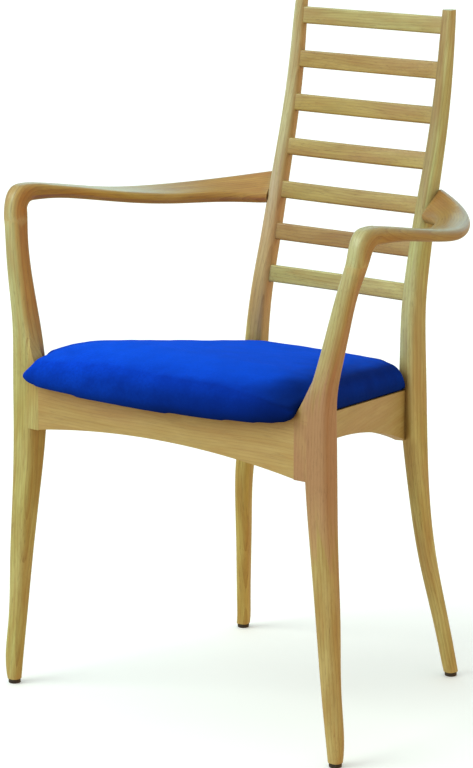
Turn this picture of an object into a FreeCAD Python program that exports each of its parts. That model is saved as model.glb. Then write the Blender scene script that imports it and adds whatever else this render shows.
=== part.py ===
import FreeCAD, Part
import Sketcher
import math
import os

# Ladder-back armchair with an upholstered seat.
# Frame: +Z up, the sitter faces -Y, X = 0 is the plane of symmetry, the floor is Z = 0.

V = FreeCAD.Vector
doc = FreeCAD.newDocument("armchair")
sheet = doc.addObject("Spreadsheet::Sheet", "dims")
_row = [0]
VAL = {}


def cell(alias, value, note=""):
    _row[0] += 1
    r = _row[0]
    sheet.set("A%d" % r, alias)
    sheet.set("B%d" % r, str(value))
    sheet.setAlias("B%d" % r, alias)
    if note:
        sheet.set("C%d" % r, note)
    VAL[alias] = float(value)


# ---------------------------------------------------------------- driving sizes

# Front leg: level, centre x, centre y, width, depth, edge radius, skew of the side faces.
FRONT_LEG = [
    (6.0, 275.9, -218.5, 18.0, 17.5, 6.8, 0.0),
    (90.0, 269.0, -218.0, 25.0, 20.8, 8.4, 0.0),
    (180.0, 261.7, -216.1, 29.3, 25.6, 9.6, 1.0),
    (274.5, 253.0, -213.8, 32.6, 30.3, 9.6, 6.0),
    (369.0, 245.9, -211.9, 36.0, 34.1, 8.2, 7.0),
    (445.0, 244.9, -211.9, 35.0, 34.1, 7.5, 9.0),
    (482.7, 247.5, -211.0, 31.2, 33.1, 7.8, 10.0),
    (513.0, 253.3, -208.1, 28.4, 32.2, 8.6, 10.0),
    (566.0, 265.3, -204.3, 25.6, 30.3, 9.2, 10.0),
    (619.0, 276.8, -198.1, 24.2, 28.9, 9.2, 8.0),
    (639.0, 281.6, -193.7, 24.6, 29.4, 9.2, 6.0),
]
for _i, (z, x, y, w, d, r, sk) in enumerate(FRONT_LEG, 1):
    for _n, _v in (("lev", z), ("cx", x), ("cy", y), ("wide", w), ("deep", d), ("rad", r), ("skew", sk)):
        cell("fleg%s_%s" % ("abcdefghijkl"[_i - 1], _n), _v)

# Rear post: level, centre x, centre y, width, depth, edge radius.
REAR_POST = [
    (6.0, 183.9, 180.0, 17.5, 18.9, 6.8),
    (37.9, 179.4, 175.4, 18.0, 19.9, 7.0),
    (111.7, 169.4, 162.4, 19.4, 21.8, 7.8),
    (170.4, 161.5, 152.1, 20.8, 24.1, 8.4),
    (256.5, 152.6, 143.1, 23.2, 27.0, 8.8),
    (331.3, 142.9, 145.0, 26.0, 31.2, 8.2),
    (407.0, 136.6, 146.6, 27.4, 34.5, 7.6),
    (459.1, 134.1, 148.7, 26.5, 34.1, 8.6),
    (528.1, 129.9, 156.1, 25.6, 32.2, 9.6),
    (587.8, 127.6, 169.7, 24.6, 30.3, 9.4),
    (646.5, 126.8, 184.0, 23.2, 28.4, 8.8),
    (706.1, 126.7, 199.9, 21.8, 26.0, 8.4),
    (767.6, 126.4, 215.1, 20.6, 23.9, 8.0),
    (827.2, 125.8, 226.3, 19.2, 21.8, 7.4),
    (886.9, 125.4, 234.1, 17.4, 19.6, 6.8),
    (920.0, 124.9, 238.1, 15.7, 17.6, 6.0),
]
for _i, (z, x, y, w, d, r) in enumerate(REAR_POST, 1):
    for _n, _v in (("lev", z), ("cx", x), ("cy", y), ("wide", w), ("deep", d), ("rad", r)):
        cell("post%s_%s" % ("abcdefghijklmnop"[_i - 1], _n), _v)
cell("post_turn", -12.0, "posts are turned a little towards the sitter, degrees")

# Elbow where the leg turns into the arm: angle turned, inner and outer radius about the pivot, width, centre x, edge radius, skew.
ELBOW = [
    (0.0, 14.0, 43.7, 25.3, 285.0, 9.2, 5.0),
    (20.0, 14.0, 43.2, 25.6, 286.0, 9.3, 3.0),
    (38.0, 14.0, 44.2, 26.2, 286.4, 9.4, 1.0),
    (54.0, 14.0, 43.4, 27.0, 286.4, 9.4, 0.0),
    (72.0, 14.0, 39.2, 28.6, 286.0, 9.2, 0.0),
    (90.0, 14.0, 36.9, 31.0, 285.2, 9.0, 0.0),
]
for _i, (an, ri, ro, w, x, r, sk) in enumerate(ELBOW, 1):
    for _n, _v in (("turn", an), ("in", ri), ("out", ro), ("wide", w), ("cx", x), ("rad", r), ("skew", sk)):
        cell("elb%s_%s" % ("abcdef"[_i - 1], _n), _v)
cell("elbow_y", -161.8, "pivot of the elbow")
cell("elbow_z", 655.4)
cell("joint_level", 646.0, "glued joint between leg and arm")
cell("arm_trim", 10.6, "the arm is cut this far out from the post's middle")
cell("arm_trim_x", 126.8)
cell("arm_trim_y", 187.5)

# Arm: centre x, y, z, width, thickness, edge radius, heading, bank.
ARM = [
    (283.5, -139.9, 679.4, 36.9, 20.0, 8.0, 4.0, 0.5),
    (277.8, -87.9, 672.3, 47.3, 16.7, 7.4, 7.0, 1.0),
    (269.8, -30.1, 662.4, 55.8, 15.8, 7.2, 9.0, 1.5),
    (260.3, 24.8, 654.8, 57.7, 15.6, 7.2, 14.0, 4.0),
    (235.7, 83.4, 651.8, 53.0, 15.0, 7.0, 30.0, 12.0),
    (199.7, 138.4, 653.2, 45.4, 17.0, 7.6, 50.0, 26.0),
    (166.5, 169.5, 655.6, 47.0, 17.5, 7.6, 66.0, 40.0),
    (131.0, 194.0, 659.2, 50.0, 17.5, 7.6, 72.0, 47.0),
]
for _i, (x, y, z, w, t, r, hd, bk) in enumerate(ARM, 1):
    for _n, _v in (("cx", x), ("cy", y), ("cz", z), ("wide", w), ("thick", t), ("rad", r), ("head", hd), ("bank", bk)):
        cell("arm%s_%s" % ("abcdefghijkl"[_i - 1], _n), _v)

# Front rail and the ear of the leg that meets it.
cell("rail_front", -228.9, "front face of the front rail")
cell("rail_thick", 20.8)
cell("rail_half", 214.9, "half length between the ears")
cell("rail_low_end", 371.5, "lower edge at the ends")
cell("rail_low_mid", 388.5, "lower edge at the middle")
cell("rail_high", 470.0, "blank height before the seat bevel")
cell("ear_low", 370.5)
cell("ear_high", 446.0)
cell("ear_in", 214.9)
cell("ear_out", 247.0)
# Hollow curve of the ear above the rail: level, inner x, front y.
EAR = [
    (446.0, 214.9, -228.9),
    (450.0, 215.1, -228.85),
    (455.0, 217.0, -228.6),
    (461.0, 220.4, -228.2),
    (468.0, 224.4, -227.5),
    (477.0, 228.8, -226.2),
    (488.0, 233.2, -223.8),
    (500.0, 237.6, -220.2),
    (512.0, 242.4, -216.5),
]
for _i, (z, x, y) in enumerate(EAR, 1):
    for _n, _v in (("lev", z), ("in", x), ("front", y)):
        cell("ear%s_%s" % ("abcdefghi"[_i - 1], _n), _v)

# Seat plane: the rails are bevelled to it and the seat rests on it.
cell("seat_y", -228.9)
cell("seat_z", 456.2)
cell("seat_tilt", 7.18, "degrees")

# Side rail, right: starting point, heading, thickness and edge shape (run along the rail, level).
cell("side_x", 237.6)
cell("side_y", -195.8)
cell("side_head", 17.34, "degrees")
cell("side_thick", 17.0)
cell("side_start", -14.0)
cell("side_end", 352.0)
cell("side_top", 480.0)
cell("side_low_start", 414.0)
cell("side_low_run", 51.0)
cell("side_low_mid", 410.2)
cell("side_low_arc_run", 217.0)
cell("side_low_arc", 379.5)
cell("side_low_end", 337.0)

# Rear rail.
cell("back_front", 144.0)
cell("back_thick", 18.9)
cell("back_low", 357.8)
cell("back_high", 440.0)
cell("back_half", 126.0)

# Tenons.
cell("ten_thick", 10.0)
cell("ten_deep", 29.0)
cell("ften_low", 388.0)
cell("ften_tall", 54.0)
cell("sten_thick", 8.5)
cell("sten_in", 4.2)
cell("sten_front_low", 420.0)
cell("sten_front_tall", 24.0)
cell("sten_front_long", 16.0)
cell("sten_back_low", 353.0)
cell("sten_back_tall", 39.0)
cell("sten_back_long", 1.5)
cell("sten_back_thick", 4.0)
cell("bten_thick", 8.0)
cell("bten_low", 364.0)
cell("bten_tall", 42.0)
cell("bten_half", 141.0)

# Slats: half length with the housed ends, radius of the bend, thickness, height, edge rounding.
cell("slat_half", 123.5)
cell("slat_bend", 980.0)
cell("slat_thick", 11.0)
cell("slat_tall", 24.0)
cell("slat_round", 2.6)
SLATS = [
    (899.0, 229.7, 6.5),
    (838.5, 221.2, 8.0),
    (778.5, 209.9, 11.5),
    (718.0, 194.3, 14.0),
    (658.5, 178.2, 14.0),
    (600.5, 164.4, 12.5),
    (541.5, 151.2, 9.0),
]
for _i, (z, y, rk) in enumerate(SLATS, 1):
    cell("slat%s_mid" % "abcdefg"[_i - 1], z, "level of the middle")
    cell("slat%s_face" % "abcdefg"[_i - 1], y, "front of the ends")
    cell("slat%s_rake" % "abcdefg"[_i - 1], rk, "degrees")

# Seat: board outline (half), cover and pad.
cell("board_front", 3.8, "distance behind the front of the rail, along the seat")
cell("board_half_front", 211.0)
cell("board_notch", 36.5, "where the outline steps out behind the leg")
cell("board_half_wide", 232.5)
cell("board_side_end", 361.0)
cell("board_half_back", 131.5)
cell("board_tab", 108.0)
cell("board_back", 384.0)
cell("board_thick", 9.0)
cell("hem_thick", 1.2)
cell("hem_wide", 42.0)
cell("cover_thick", 1.6)
cell("cover_proud", 20.4, "how far the seat stands in front of the rail")
cell("cover_swell", 7.0)
cell("cover_mid_low", 13.0)
cell("cover_mid_high", 26.0)
cell("cover_high", 37.0)
cell("cover_crown_in", 22.0)
cell("lip_half", 226.0)
cell("lip_low", -27.0)
cell("lip_gap", 3.5, "room between the lip and the rail")
cell("cloth_thick", 0.8)

# Corner blocks.
cell("fblock_low", 414.0)
cell("fblock_tall", 31.0)
cell("bblock_low", 366.0)
cell("bblock_tall", 36.0)

# Fasteners and feet.
cell("dowel_dia", 8.0)
cell("dowel_long", 34.0)
cell("bolt_dia", 6.0)
cell("bolt_head", 12.0)
cell("bolt_head_tall", 4.0)
cell("screw_dia", 4.0)
cell("screw_head", 8.0)
cell("screw_head_tall", 3.0)
cell("staple_wide", 10.0)
cell("staple_wire", 0.9)
cell("staple_leg", 6.0)
cell("glide_dia", 17.0)
cell("glide_tall", 6.0)
cell("glide_edge", 1.2)
cell("nail_dia", 2.6)
cell("nail_long", 15.0)
doc.recompute()


# ---------------------------------------------------------------- helpers

def plane(body, role):
    return [o for o in body.Origin.OriginFeatures if o.Role == role][0]


def new_sketch(body, name, role):
    sk = body.newObject("Sketcher::SketchObject", name)
    sk.AttachmentSupport = [(plane(body, role), "")]
    sk.MapMode = "FlatFace"
    return sk


def rounded_section(sk, w, d, r, skew_deg, ex_w, ex_d, ex_r, ex_skew):
    """Rounded four-sided section about the sketch origin, its side lines leaning by the skew."""
    a = math.radians(skew_deg)
    s = d * math.tan(a)
    pts = [V(-w / 2 + s / 2, -d / 2, 0), V(w / 2 + s / 2, -d / 2, 0),
           V(w / 2 - s / 2, d / 2, 0), V(-w / 2 - s / 2, d / 2, 0)]
    n = 4
    starts, ends, arcs = [], [], []
    for i in range(n):
        p, q, t = pts[i - 1], pts[i], pts[(i + 1) % n]
        u = (p - q).normalize()
        v = (t - q).normalize()
        phi = math.acos(max(-1, min(1, u.dot(v))))
        tl = r / math.tan(phi / 2)
        c = q + (u + v).normalize() * (r / math.sin(phi / 2))
        ends.append(q + u * tl)
        starts.append(q + v * tl)
        arcs.append(c)
    geo = []
    for i in range(n):
        geo.append(Part.LineSegment(starts[i], ends[(i + 1) % n]))
    for i in range(n):
        c = arcs[i]
        p0, p1 = ends[i], starts[i]
        a0 = math.atan2(p0.y - c.y, p0.x - c.x)
        a1 = math.atan2(p1.y - c.y, p1.x - c.x)
        if a1 < a0:
            a1 += 2 * math.pi
        geo.append(Part.ArcOfCircle(Part.Circle(c, V(0, 0, 1), r), a0, a1))
    sk.addGeometry(geo, False)
    con = []
    for i in range(n):
        con.append(Sketcher.Constraint("Tangent", (i - 1) % n, 2, 4 + i, 1))
        con.append(Sketcher.Constraint("Tangent", 4 + i, 2, i, 1))
    con.append(Sketcher.Constraint("Horizontal", 0))
    con.append(Sketcher.Constraint("Horizontal", 2))
    con.append(Sketcher.Constraint("Parallel", 1, 3))
    con.append(Sketcher.Constraint("Equal", 4, 5))
    con.append(Sketcher.Constraint("Equal", 4, 6))
    con.append(Sketcher.Constraint("Equal", 4, 7))
    con.append(Sketcher.Constraint("Symmetric", 4, 3, 6, 3, -1, 1))
    sk.addConstraint(con)
    i0 = sk.addConstraint(Sketcher.Constraint("Angle", 1, math.pi / 2 + a))
    sk.renameConstraint(i0, "lean")
    i1 = sk.addConstraint(Sketcher.Constraint("Radius", 4, r))
    sk.renameConstraint(i1, "corner")
    i2 = sk.addConstraint(Sketcher.Constraint("DistanceY", 0, 1, 2, 1, d))
    sk.renameConstraint(i2, "deep")
    i3 = sk.addConstraint(Sketcher.Constraint("Distance", 3, 1, 1, w * math.cos(a)))
    sk.renameConstraint(i3, "wide")
    if ex_skew:
        sk.setExpression("Constraints.lean", "90 deg + %s * 1 deg" % ex_skew)
        sk.setExpression("Constraints.wide", "%s * cos(%s * 1 deg)" % (ex_w, ex_skew))
    else:
        sk.setExpression("Constraints.wide", ex_w)
    sk.setExpression("Constraints.deep", ex_d)
    sk.setExpression("Constraints.corner", ex_r)


def loft_body(name, sketches_of):
    body = doc.addObject("PartDesign::Body", name)
    sks = sketches_of(body)
    loft = body.newObject("PartDesign::AdditiveLoft", name + "_loft")
    loft.Profile = sks[0]
    loft.Sections = sks[1:]
    loft.Ruled = False
    loft.Closed = False
    body.Tip = loft
    return body


def arc_through(p, q, t):
    """Counter-clockwise arc through three points; also says whether it starts at the first one."""
    ax, ay, bx, by, cx, cy = p.x, p.y, q.x, q.y, t.x, t.y
    den = 2 * (ax * (by - cy) + bx * (cy - ay) + cx * (ay - by))
    ux = ((ax * ax + ay * ay) * (by - cy) + (bx * bx + by * by) * (cy - ay) + (cx * cx + cy * cy) * (ay - by)) / den
    uy = ((ax * ax + ay * ay) * (cx - bx) + (bx * bx + by * by) * (ax - cx) + (cx * cx + cy * cy) * (bx - ax)) / den
    c = V(ux, uy, 0)
    r = math.hypot(ax - ux, ay - uy)
    first = (bx - ax) * (cy - ay) - (by - ay) * (cx - ax) > 0
    s, e = (p, t) if first else (t, p)
    a0 = math.atan2(s.y - uy, s.x - ux)
    a1 = math.atan2(e.y - uy, e.x - ux)
    if a1 < a0:
        a1 += 2 * math.pi
    return Part.ArcOfCircle(Part.Circle(c, V(0, 0, 1), r), a0, a1), first, r


def polygon(sk, pts, names):
    """Closed outline of straight lines; every corner is placed by two named distances from the origin."""
    n = len(pts)
    sk.addGeometry([Part.LineSegment(V(*pts[i], 0), V(*pts[(i + 1) % n], 0)) for i in range(n)], False)
    sk.addConstraint([Sketcher.Constraint("Coincident", i, 2, (i + 1) % n, 1) for i in range(n)])
    for i, (p, nm) in enumerate(zip(pts, names)):
        for axis, kind, pv, ex in (("x", "DistanceX", p[0], nm[0]), ("y", "DistanceY", p[1], nm[1])):
            k = sk.addConstraint(Sketcher.Constraint(kind, -1, 1, i, 1, pv))
            sk.renameConstraint(k, "p%d%s" % (i, axis))
            if ex:
                sk.setExpression("Constraints.p%d%s" % (i, axis), ex)


def box(name, x, y, z, lx, ly, lz):
    """Plain block whose corner and sides are sheet expressions."""
    b = doc.addObject("Part::Box", name)
    for prop, ex in (("Length", lx), ("Width", ly), ("Height", lz)):
        b.setExpression(prop, ex)
    for prop, ex in (("Placement.Base.x", x), ("Placement.Base.y", y), ("Placement.Base.z", z)):
        b.setExpression(prop, ex)
    return b


def cut(name, base, tools):
    cur = base
    for i, t in enumerate(tools):
        c = doc.addObject("Part::Cut", name + "_c%d" % i)
        c.Base = cur
        c.Tool = t
        cur = c
    return cur


def fuse(name, shapes):
    f = doc.addObject("Part::MultiFuse", name)
    f.Shapes = shapes
    return f


def group(name, links):
    g = doc.addObject("Part::Compound", name)
    g.Links = links
    return g


def mirror(name, src):
    m = doc.addObject("Part::Mirroring", name)
    m.Source = src
    m.Base = V(0, 0, 0)
    m.Normal = V(1, 0, 0)
    return m


NODES = []


def node(obj, label):
    obj.Label = label
    NODES.append((label, obj))
    return obj


# ---------------------------------------------------------------- front leg, right

def leg_arm_sections(body):
    """Leg from the floor up, round the elbow and along the arm, as one run of sections."""
    out = []
    for i, row in enumerate(FRONT_LEG):
        p = "dims.fleg%s_" % "abcdefghijkl"[i]
        sk = new_sketch(body, "front_leg_s%d" % i, "XY_Plane")
        rounded_section(sk, row[3], row[4], row[5], row[6], p + "wide", p + "deep", p + "rad", p + "skew")
        sk.setExpression("AttachmentOffset", "placement(vector(%scx; %scy; %slev); rotation(vector(0; 0; 1); 0))" % (p, p, p))
        out.append(sk)
    for i, row in enumerate(ELBOW):
        p = "dims.elb%s_" % "abcdef"[i]
        sk = new_sketch(body, "elbow_s%d" % i, "XY_Plane")
        rounded_section(sk, row[3], row[2] - row[1], row[5], row[6], p + "wide", "(%sout - %sin)" % (p, p), p + "rad", p + "skew")
        mid = "(%sin + %sout) / 2" % (p, p)
        sk.setExpression("AttachmentOffset",
                         "placement(vector(%scx; dims.elbow_y - %s * cos(%sturn * 1 deg); dims.elbow_z + %s * sin(%sturn * 1 deg)); "
                         "rotation(vector(1; 0; 0); -%sturn))" % (p, mid, p, mid, p, p))
        out.append(sk)
    for i, row in enumerate(ARM):
        p = "dims.arm%s_" % "abcdefghijkl"[i]
        sk = new_sketch(body, "arm_s%d" % i, "XY_Plane")
        rounded_section(sk, row[3], row[4], row[5], 0.0, p + "wide", p + "thick", p + "rad", None)
        sk.setExpression("AttachmentOffset",
                         "placement(vector(%scx; %scy; %scz); rotation(vector(0; 0; 1); %shead) * rotation(vector(0; 1; 0); -%sbank) * rotation(vector(1; 0; 0); -90))"
                         % (p, p, p, p, p))
        out.append(sk)
    return out


leg_arm_body = loft_body("leg_and_arm_blank", leg_arm_sections)
doc.recompute()
# The leg is what lies below the glued joint.
joint_block = box("joint_block", "150", "-300", "-20", "250", "150", "dims.joint_level + 20")
leg_stick = doc.addObject("Part::Common", "leg_stick")
leg_stick.Base = leg_arm_body
leg_stick.Tool = joint_block
# The ear: the leg widens at the rail and runs into it with a hollow curve.
ear_body = doc.addObject("PartDesign::Body", "ear_blank")
ear = new_sketch(ear_body, "ear_low_plan", "XY_Plane")
_yf, _yb = VAL["rail_front"], VAL["rail_front"] + VAL["rail_thick"]
polygon(ear, [(VAL["ear_in"], _yf), (VAL["ear_out"], _yf), (VAL["ear_out"], _yb), (VAL["ear_in"], _yb)],
        [("dims.ear_in", "dims.rail_front"), ("dims.ear_out", "dims.rail_front"),
         ("dims.ear_out", "dims.rail_front + dims.rail_thick"), ("dims.ear_in", "dims.rail_front + dims.rail_thick")])
ear.setExpression("AttachmentOffset.Base.z", "dims.ear_low")
ear_pad = ear_body.newObject("PartDesign::Pad", "ear_low_pad")
ear_pad.Profile = ear
ear_pad.setExpression("Length", "dims.ear_high - dims.ear_low")
ear_body.Tip = ear_pad
ear_sks = []
for _i, (z, x, y) in enumerate(EAR):
    _p = "dims.ear%s_" % "abcdefghi"[_i]
    sk = new_sketch(ear_body, "ear_s%d" % _i, "XY_Plane")
    polygon(sk, [(x, y), (VAL["ear_out"], y), (VAL["ear_out"], _yb), (x, _yb)],
            [(_p + "in", _p + "front"), ("dims.ear_out", _p + "front"),
             ("dims.ear_out", "dims.rail_front + dims.rail_thick"), (_p + "in", "dims.rail_front + dims.rail_thick")])
    sk.setExpression("AttachmentOffset.Base.z", _p + "lev")
    ear_sks.append(sk)
ear_loft = ear_body.newObject("PartDesign::AdditiveLoft", "ear_hollow")
ear_loft.Profile = ear_sks[0]
ear_loft.Sections = ear_sks[1:]
ear_loft.Ruled = False
ear_body.Tip = ear_loft
leg_body = fuse("front_leg_blank", [leg_stick, ear_body])
doc.recompute()


# ---------------------------------------------------------------- rear post, right

def post_sections(body):
    out = []
    for i, row in enumerate(REAR_POST):
        p = "dims.post%s_" % "abcdefghijklmnop"[i]
        sk = new_sketch(body, "rear_post_s%d" % i, "XY_Plane")
        rounded_section(sk, row[3], row[4], row[5], 0.0, p + "wide", p + "deep", p + "rad", None)
        sk.setExpression("AttachmentOffset",
                         "placement(vector(%scx; %scy; %slev); rotation(vector(0; 0; 1); dims.post_turn))" % (p, p, p))
        out.append(sk)
    return out


post_body = loft_body("rear_post_blank", post_sections)


# ---------------------------------------------------------------- arm, right

# The arm runs from the glued joint to the outer face of the post.
arm_end = doc.addObject("Part::Box", "arm_end_block")
arm_end.setExpression("Length", "60 + dims.arm_trim")
arm_end.Width = 120
arm_end.Height = 130
arm_end.setExpression("Placement",
                      "placement(vector(dims.arm_trim_x; dims.arm_trim_y; 595); rotation(vector(0; 0; 1); dims.post_turn)) * placement(vector(-60; -60; 0); rotation(vector(0; 0; 1); 0))")
arm_body = cut("arm_blank", leg_arm_body, [joint_block, arm_end, post_body])
doc.recompute()


# ---------------------------------------------------------------- seat plane

# Everything above this tilted block's underside is planed away from the rails.
seat_bevel = doc.addObject("Part::Box", "seat_bevel")
seat_bevel.Length = 800
seat_bevel.Width = 800
seat_bevel.Height = 80
seat_bevel.setExpression(
    "Placement",
    "placement(vector(0; dims.seat_y; dims.seat_z); rotation(vector(1; 0; 0); -dims.seat_tilt)) * placement(vector(-400; -200; 0); rotation(vector(0; 0; 1); 0))")


# ---------------------------------------------------------------- front rail

rail_body = doc.addObject("PartDesign::Body", "front_rail_blank")
rk = new_sketch(rail_body, "front_rail_outline", "XZ_Plane")
rk.setExpression("AttachmentOffset.Base.z", "-dims.rail_front")
_h, _le, _lm, _hi = VAL["rail_half"], VAL["rail_low_end"], VAL["rail_low_mid"], VAL["rail_high"]
_arc, _first, _rad = arc_through(V(-_h, _le, 0), V(0, _lm, 0), V(_h, _le, 0))
_flip = not _first
rk.addGeometry([
    Part.LineSegment(V(_h, _hi, 0), V(-_h, _hi, 0)),
    Part.LineSegment(V(-_h, _hi, 0), V(-_h, _le, 0)),
    _arc,
    Part.LineSegment(V(_h, _le, 0), V(_h, _hi, 0))], False)
rk.addConstraint([
    Sketcher.Constraint("Coincident", 0, 2, 1, 1),
    Sketcher.Constraint("Coincident", 1, 2, 2, 2 if _flip else 1),
    Sketcher.Constraint("Coincident", 2, 1 if _flip else 2, 3, 1),
    Sketcher.Constraint("Coincident", 3, 2, 0, 1),
    Sketcher.Constraint("Vertical", 1),
    Sketcher.Constraint("Symmetric", 0, 1, 0, 2, -2),
    Sketcher.Constraint("Symmetric", 1, 2, 3, 1, -2)])
for _nm, _c, _ex in (("half", Sketcher.Constraint("DistanceX", -1, 1, 0, 1, _h), "dims.rail_half"),
                     ("high", Sketcher.Constraint("DistanceY", -1, 1, 0, 1, _hi), "dims.rail_high"),
                     ("lowend", Sketcher.Constraint("DistanceY", -1, 1, 3, 1, _le), "dims.rail_low_end"),
                     ("bow", Sketcher.Constraint("Radius", 2, _rad),
                      "(dims.rail_half ^ 2 + (dims.rail_low_mid - dims.rail_low_end) ^ 2) / (2 * (dims.rail_low_mid - dims.rail_low_end))")):
    _k = rk.addConstraint(_c)
    rk.renameConstraint(_k, _nm)
    rk.setExpression("Constraints." + _nm, _ex)
rail_pad = rail_body.newObject("PartDesign::Pad", "front_rail_pad")
rail_pad.Profile = rk
rail_pad.Reversed = True
rail_pad.setExpression("Length", "dims.rail_thick")
rail_body.Tip = rail_pad

ften_r = box("front_tenon_right", "dims.rail_half", "dims.rail_front + (dims.rail_thick - dims.ten_thick) / 2", "dims.ften_low",
             "dims.ten_deep", "dims.ten_thick", "dims.ften_tall")
ften_l = mirror("front_tenon_left", ften_r)
front_rail0 = cut("front_rail_bevelled", rail_body, [seat_bevel])
front_rail1 = fuse("front_rail_with_tenons", [front_rail0, ften_r, ften_l])


# ---------------------------------------------------------------- side rail, right

side_body = doc.addObject("PartDesign::Body", "side_rail_blank")
ss = new_sketch(side_body, "side_rail_outline", "YZ_Plane")
_s0, _s1 = VAL["side_start"], VAL["side_end"]
_pts = [V(_s0, VAL["side_top"], 0), V(_s0, VAL["side_low_start"], 0), V(VAL["side_low_run"], VAL["side_low_mid"], 0),
        V(_s1, VAL["side_low_end"], 0), V(_s1, VAL["side_top"], 0)]
_arc, _first, _rad = arc_through(_pts[2], V(VAL["side_low_arc_run"], VAL["side_low_arc"], 0), _pts[3])
_flip = not _first
ss.addGeometry([
    Part.LineSegment(_pts[0], _pts[1]),
    Part.LineSegment(_pts[1], _pts[2]),
    _arc,
    Part.LineSegment(_pts[3], _pts[4]),
    Part.LineSegment(_pts[4], _pts[0])], False)
ss.addConstraint([
    Sketcher.Constraint("Coincident", 0, 2, 1, 1),
    Sketcher.Constraint("Coincident", 1, 2, 2, 2 if _flip else 1),
    Sketcher.Constraint("Coincident", 2, 1 if _flip else 2, 3, 1),
    Sketcher.Constraint("Coincident", 3, 2, 4, 1),
    Sketcher.Constraint("Coincident", 4, 2, 0, 1),
    Sketcher.Constraint("Vertical", 0), Sketcher.Constraint("Vertical", 3), Sketcher.Constraint("Horizontal", 4),
    Sketcher.Constraint("Radius", 2, _rad)])
for _nm, _c, _ex in (("start", Sketcher.Constraint("DistanceX", -1, 1, 0, 1, _s0), "dims.side_start"),
                     ("top", Sketcher.Constraint("DistanceY", -1, 1, 0, 1, VAL["side_top"]), "dims.side_top"),
                     ("lowstart", Sketcher.Constraint("DistanceY", -1, 1, 0, 2, VAL["side_low_start"]), "dims.side_low_start"),
                     ("lowrun", Sketcher.Constraint("DistanceX", -1, 1, 1, 2, VAL["side_low_run"]), "dims.side_low_run"),
                     ("lowmid", Sketcher.Constraint("DistanceY", -1, 1, 1, 2, VAL["side_low_mid"]), "dims.side_low_mid"),
                     ("finish", Sketcher.Constraint("DistanceX", -1, 1, 3, 1, _s1), "dims.side_end"),
                     ("lowend", Sketcher.Constraint("DistanceY", -1, 1, 3, 1, VAL["side_low_end"]), "dims.side_low_end")):
    _k = ss.addConstraint(_c)
    ss.renameConstraint(_k, _nm)
    ss.setExpression("Constraints." + _nm, _ex)
side_pad = side_body.newObject("PartDesign::Pad", "side_rail_pad")
side_pad.Profile = ss
side_pad.Reversed = True
side_pad.setExpression("Length", "dims.side_thick")
side_body.Tip = side_pad
SIDE_PLACE = "placement(vector(dims.side_x; dims.side_y; 0); rotation(vector(0; 0; 1); dims.side_head))"
side_body.setExpression("Placement", SIDE_PLACE)


def side_box(name, x, y, z, lx, ly, lz):
    b = doc.addObject("Part::Box", name)
    for prop, ex in (("Length", lx), ("Width", ly), ("Height", lz)):
        b.setExpression(prop, ex)
    b.setExpression("Placement", SIDE_PLACE + " * placement(vector(%s; %s; %s); rotation(vector(0; 0; 1); 0))" % (x, y, z))
    return b


sten_f = side_box("side_tenon_front", "-dims.side_thick + dims.sten_in", "-dims.sten_front_long", "dims.sten_front_low",
                  "dims.sten_thick", "dims.sten_front_long + 14", "dims.sten_front_tall")
sten_b = side_box("side_tenon_back", "-dims.sten_back_thick - 1", "dims.side_end - 22", "dims.sten_back_low",
                  "dims.sten_back_thick", "22 + dims.sten_back_long", "dims.sten_back_tall")
side_rail0 = cut("side_rail_fitted", side_body, [seat_bevel, leg_body, post_body])
side_rail1 = fuse("side_rail_with_tenons", [side_rail0, sten_f, sten_b])


# ---------------------------------------------------------------- rear rail

back_blank = box("rear_rail_blank", "-dims.back_half", "dims.back_front", "dims.back_low",
                 "2 * dims.back_half", "dims.back_thick", "dims.back_high - dims.back_low")
bten = box("rear_tenon", "-dims.bten_half", "dims.back_front + dims.back_thick - dims.bten_thick - 2", "dims.bten_low",
           "2 * dims.bten_half", "dims.bten_thick", "dims.bten_tall")
post_left_blank = mirror("rear_post_left_blank", post_body)
side_left_blank = mirror("side_rail_left_blank", side_rail1)
rear_rail0 = cut("rear_rail_fitted", back_blank, [seat_bevel, post_body, post_left_blank, side_rail1, side_left_blank])
rear_rail1 = fuse("rear_rail_with_tenons", [rear_rail0, bten])


# ---------------------------------------------------------------- slats

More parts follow.
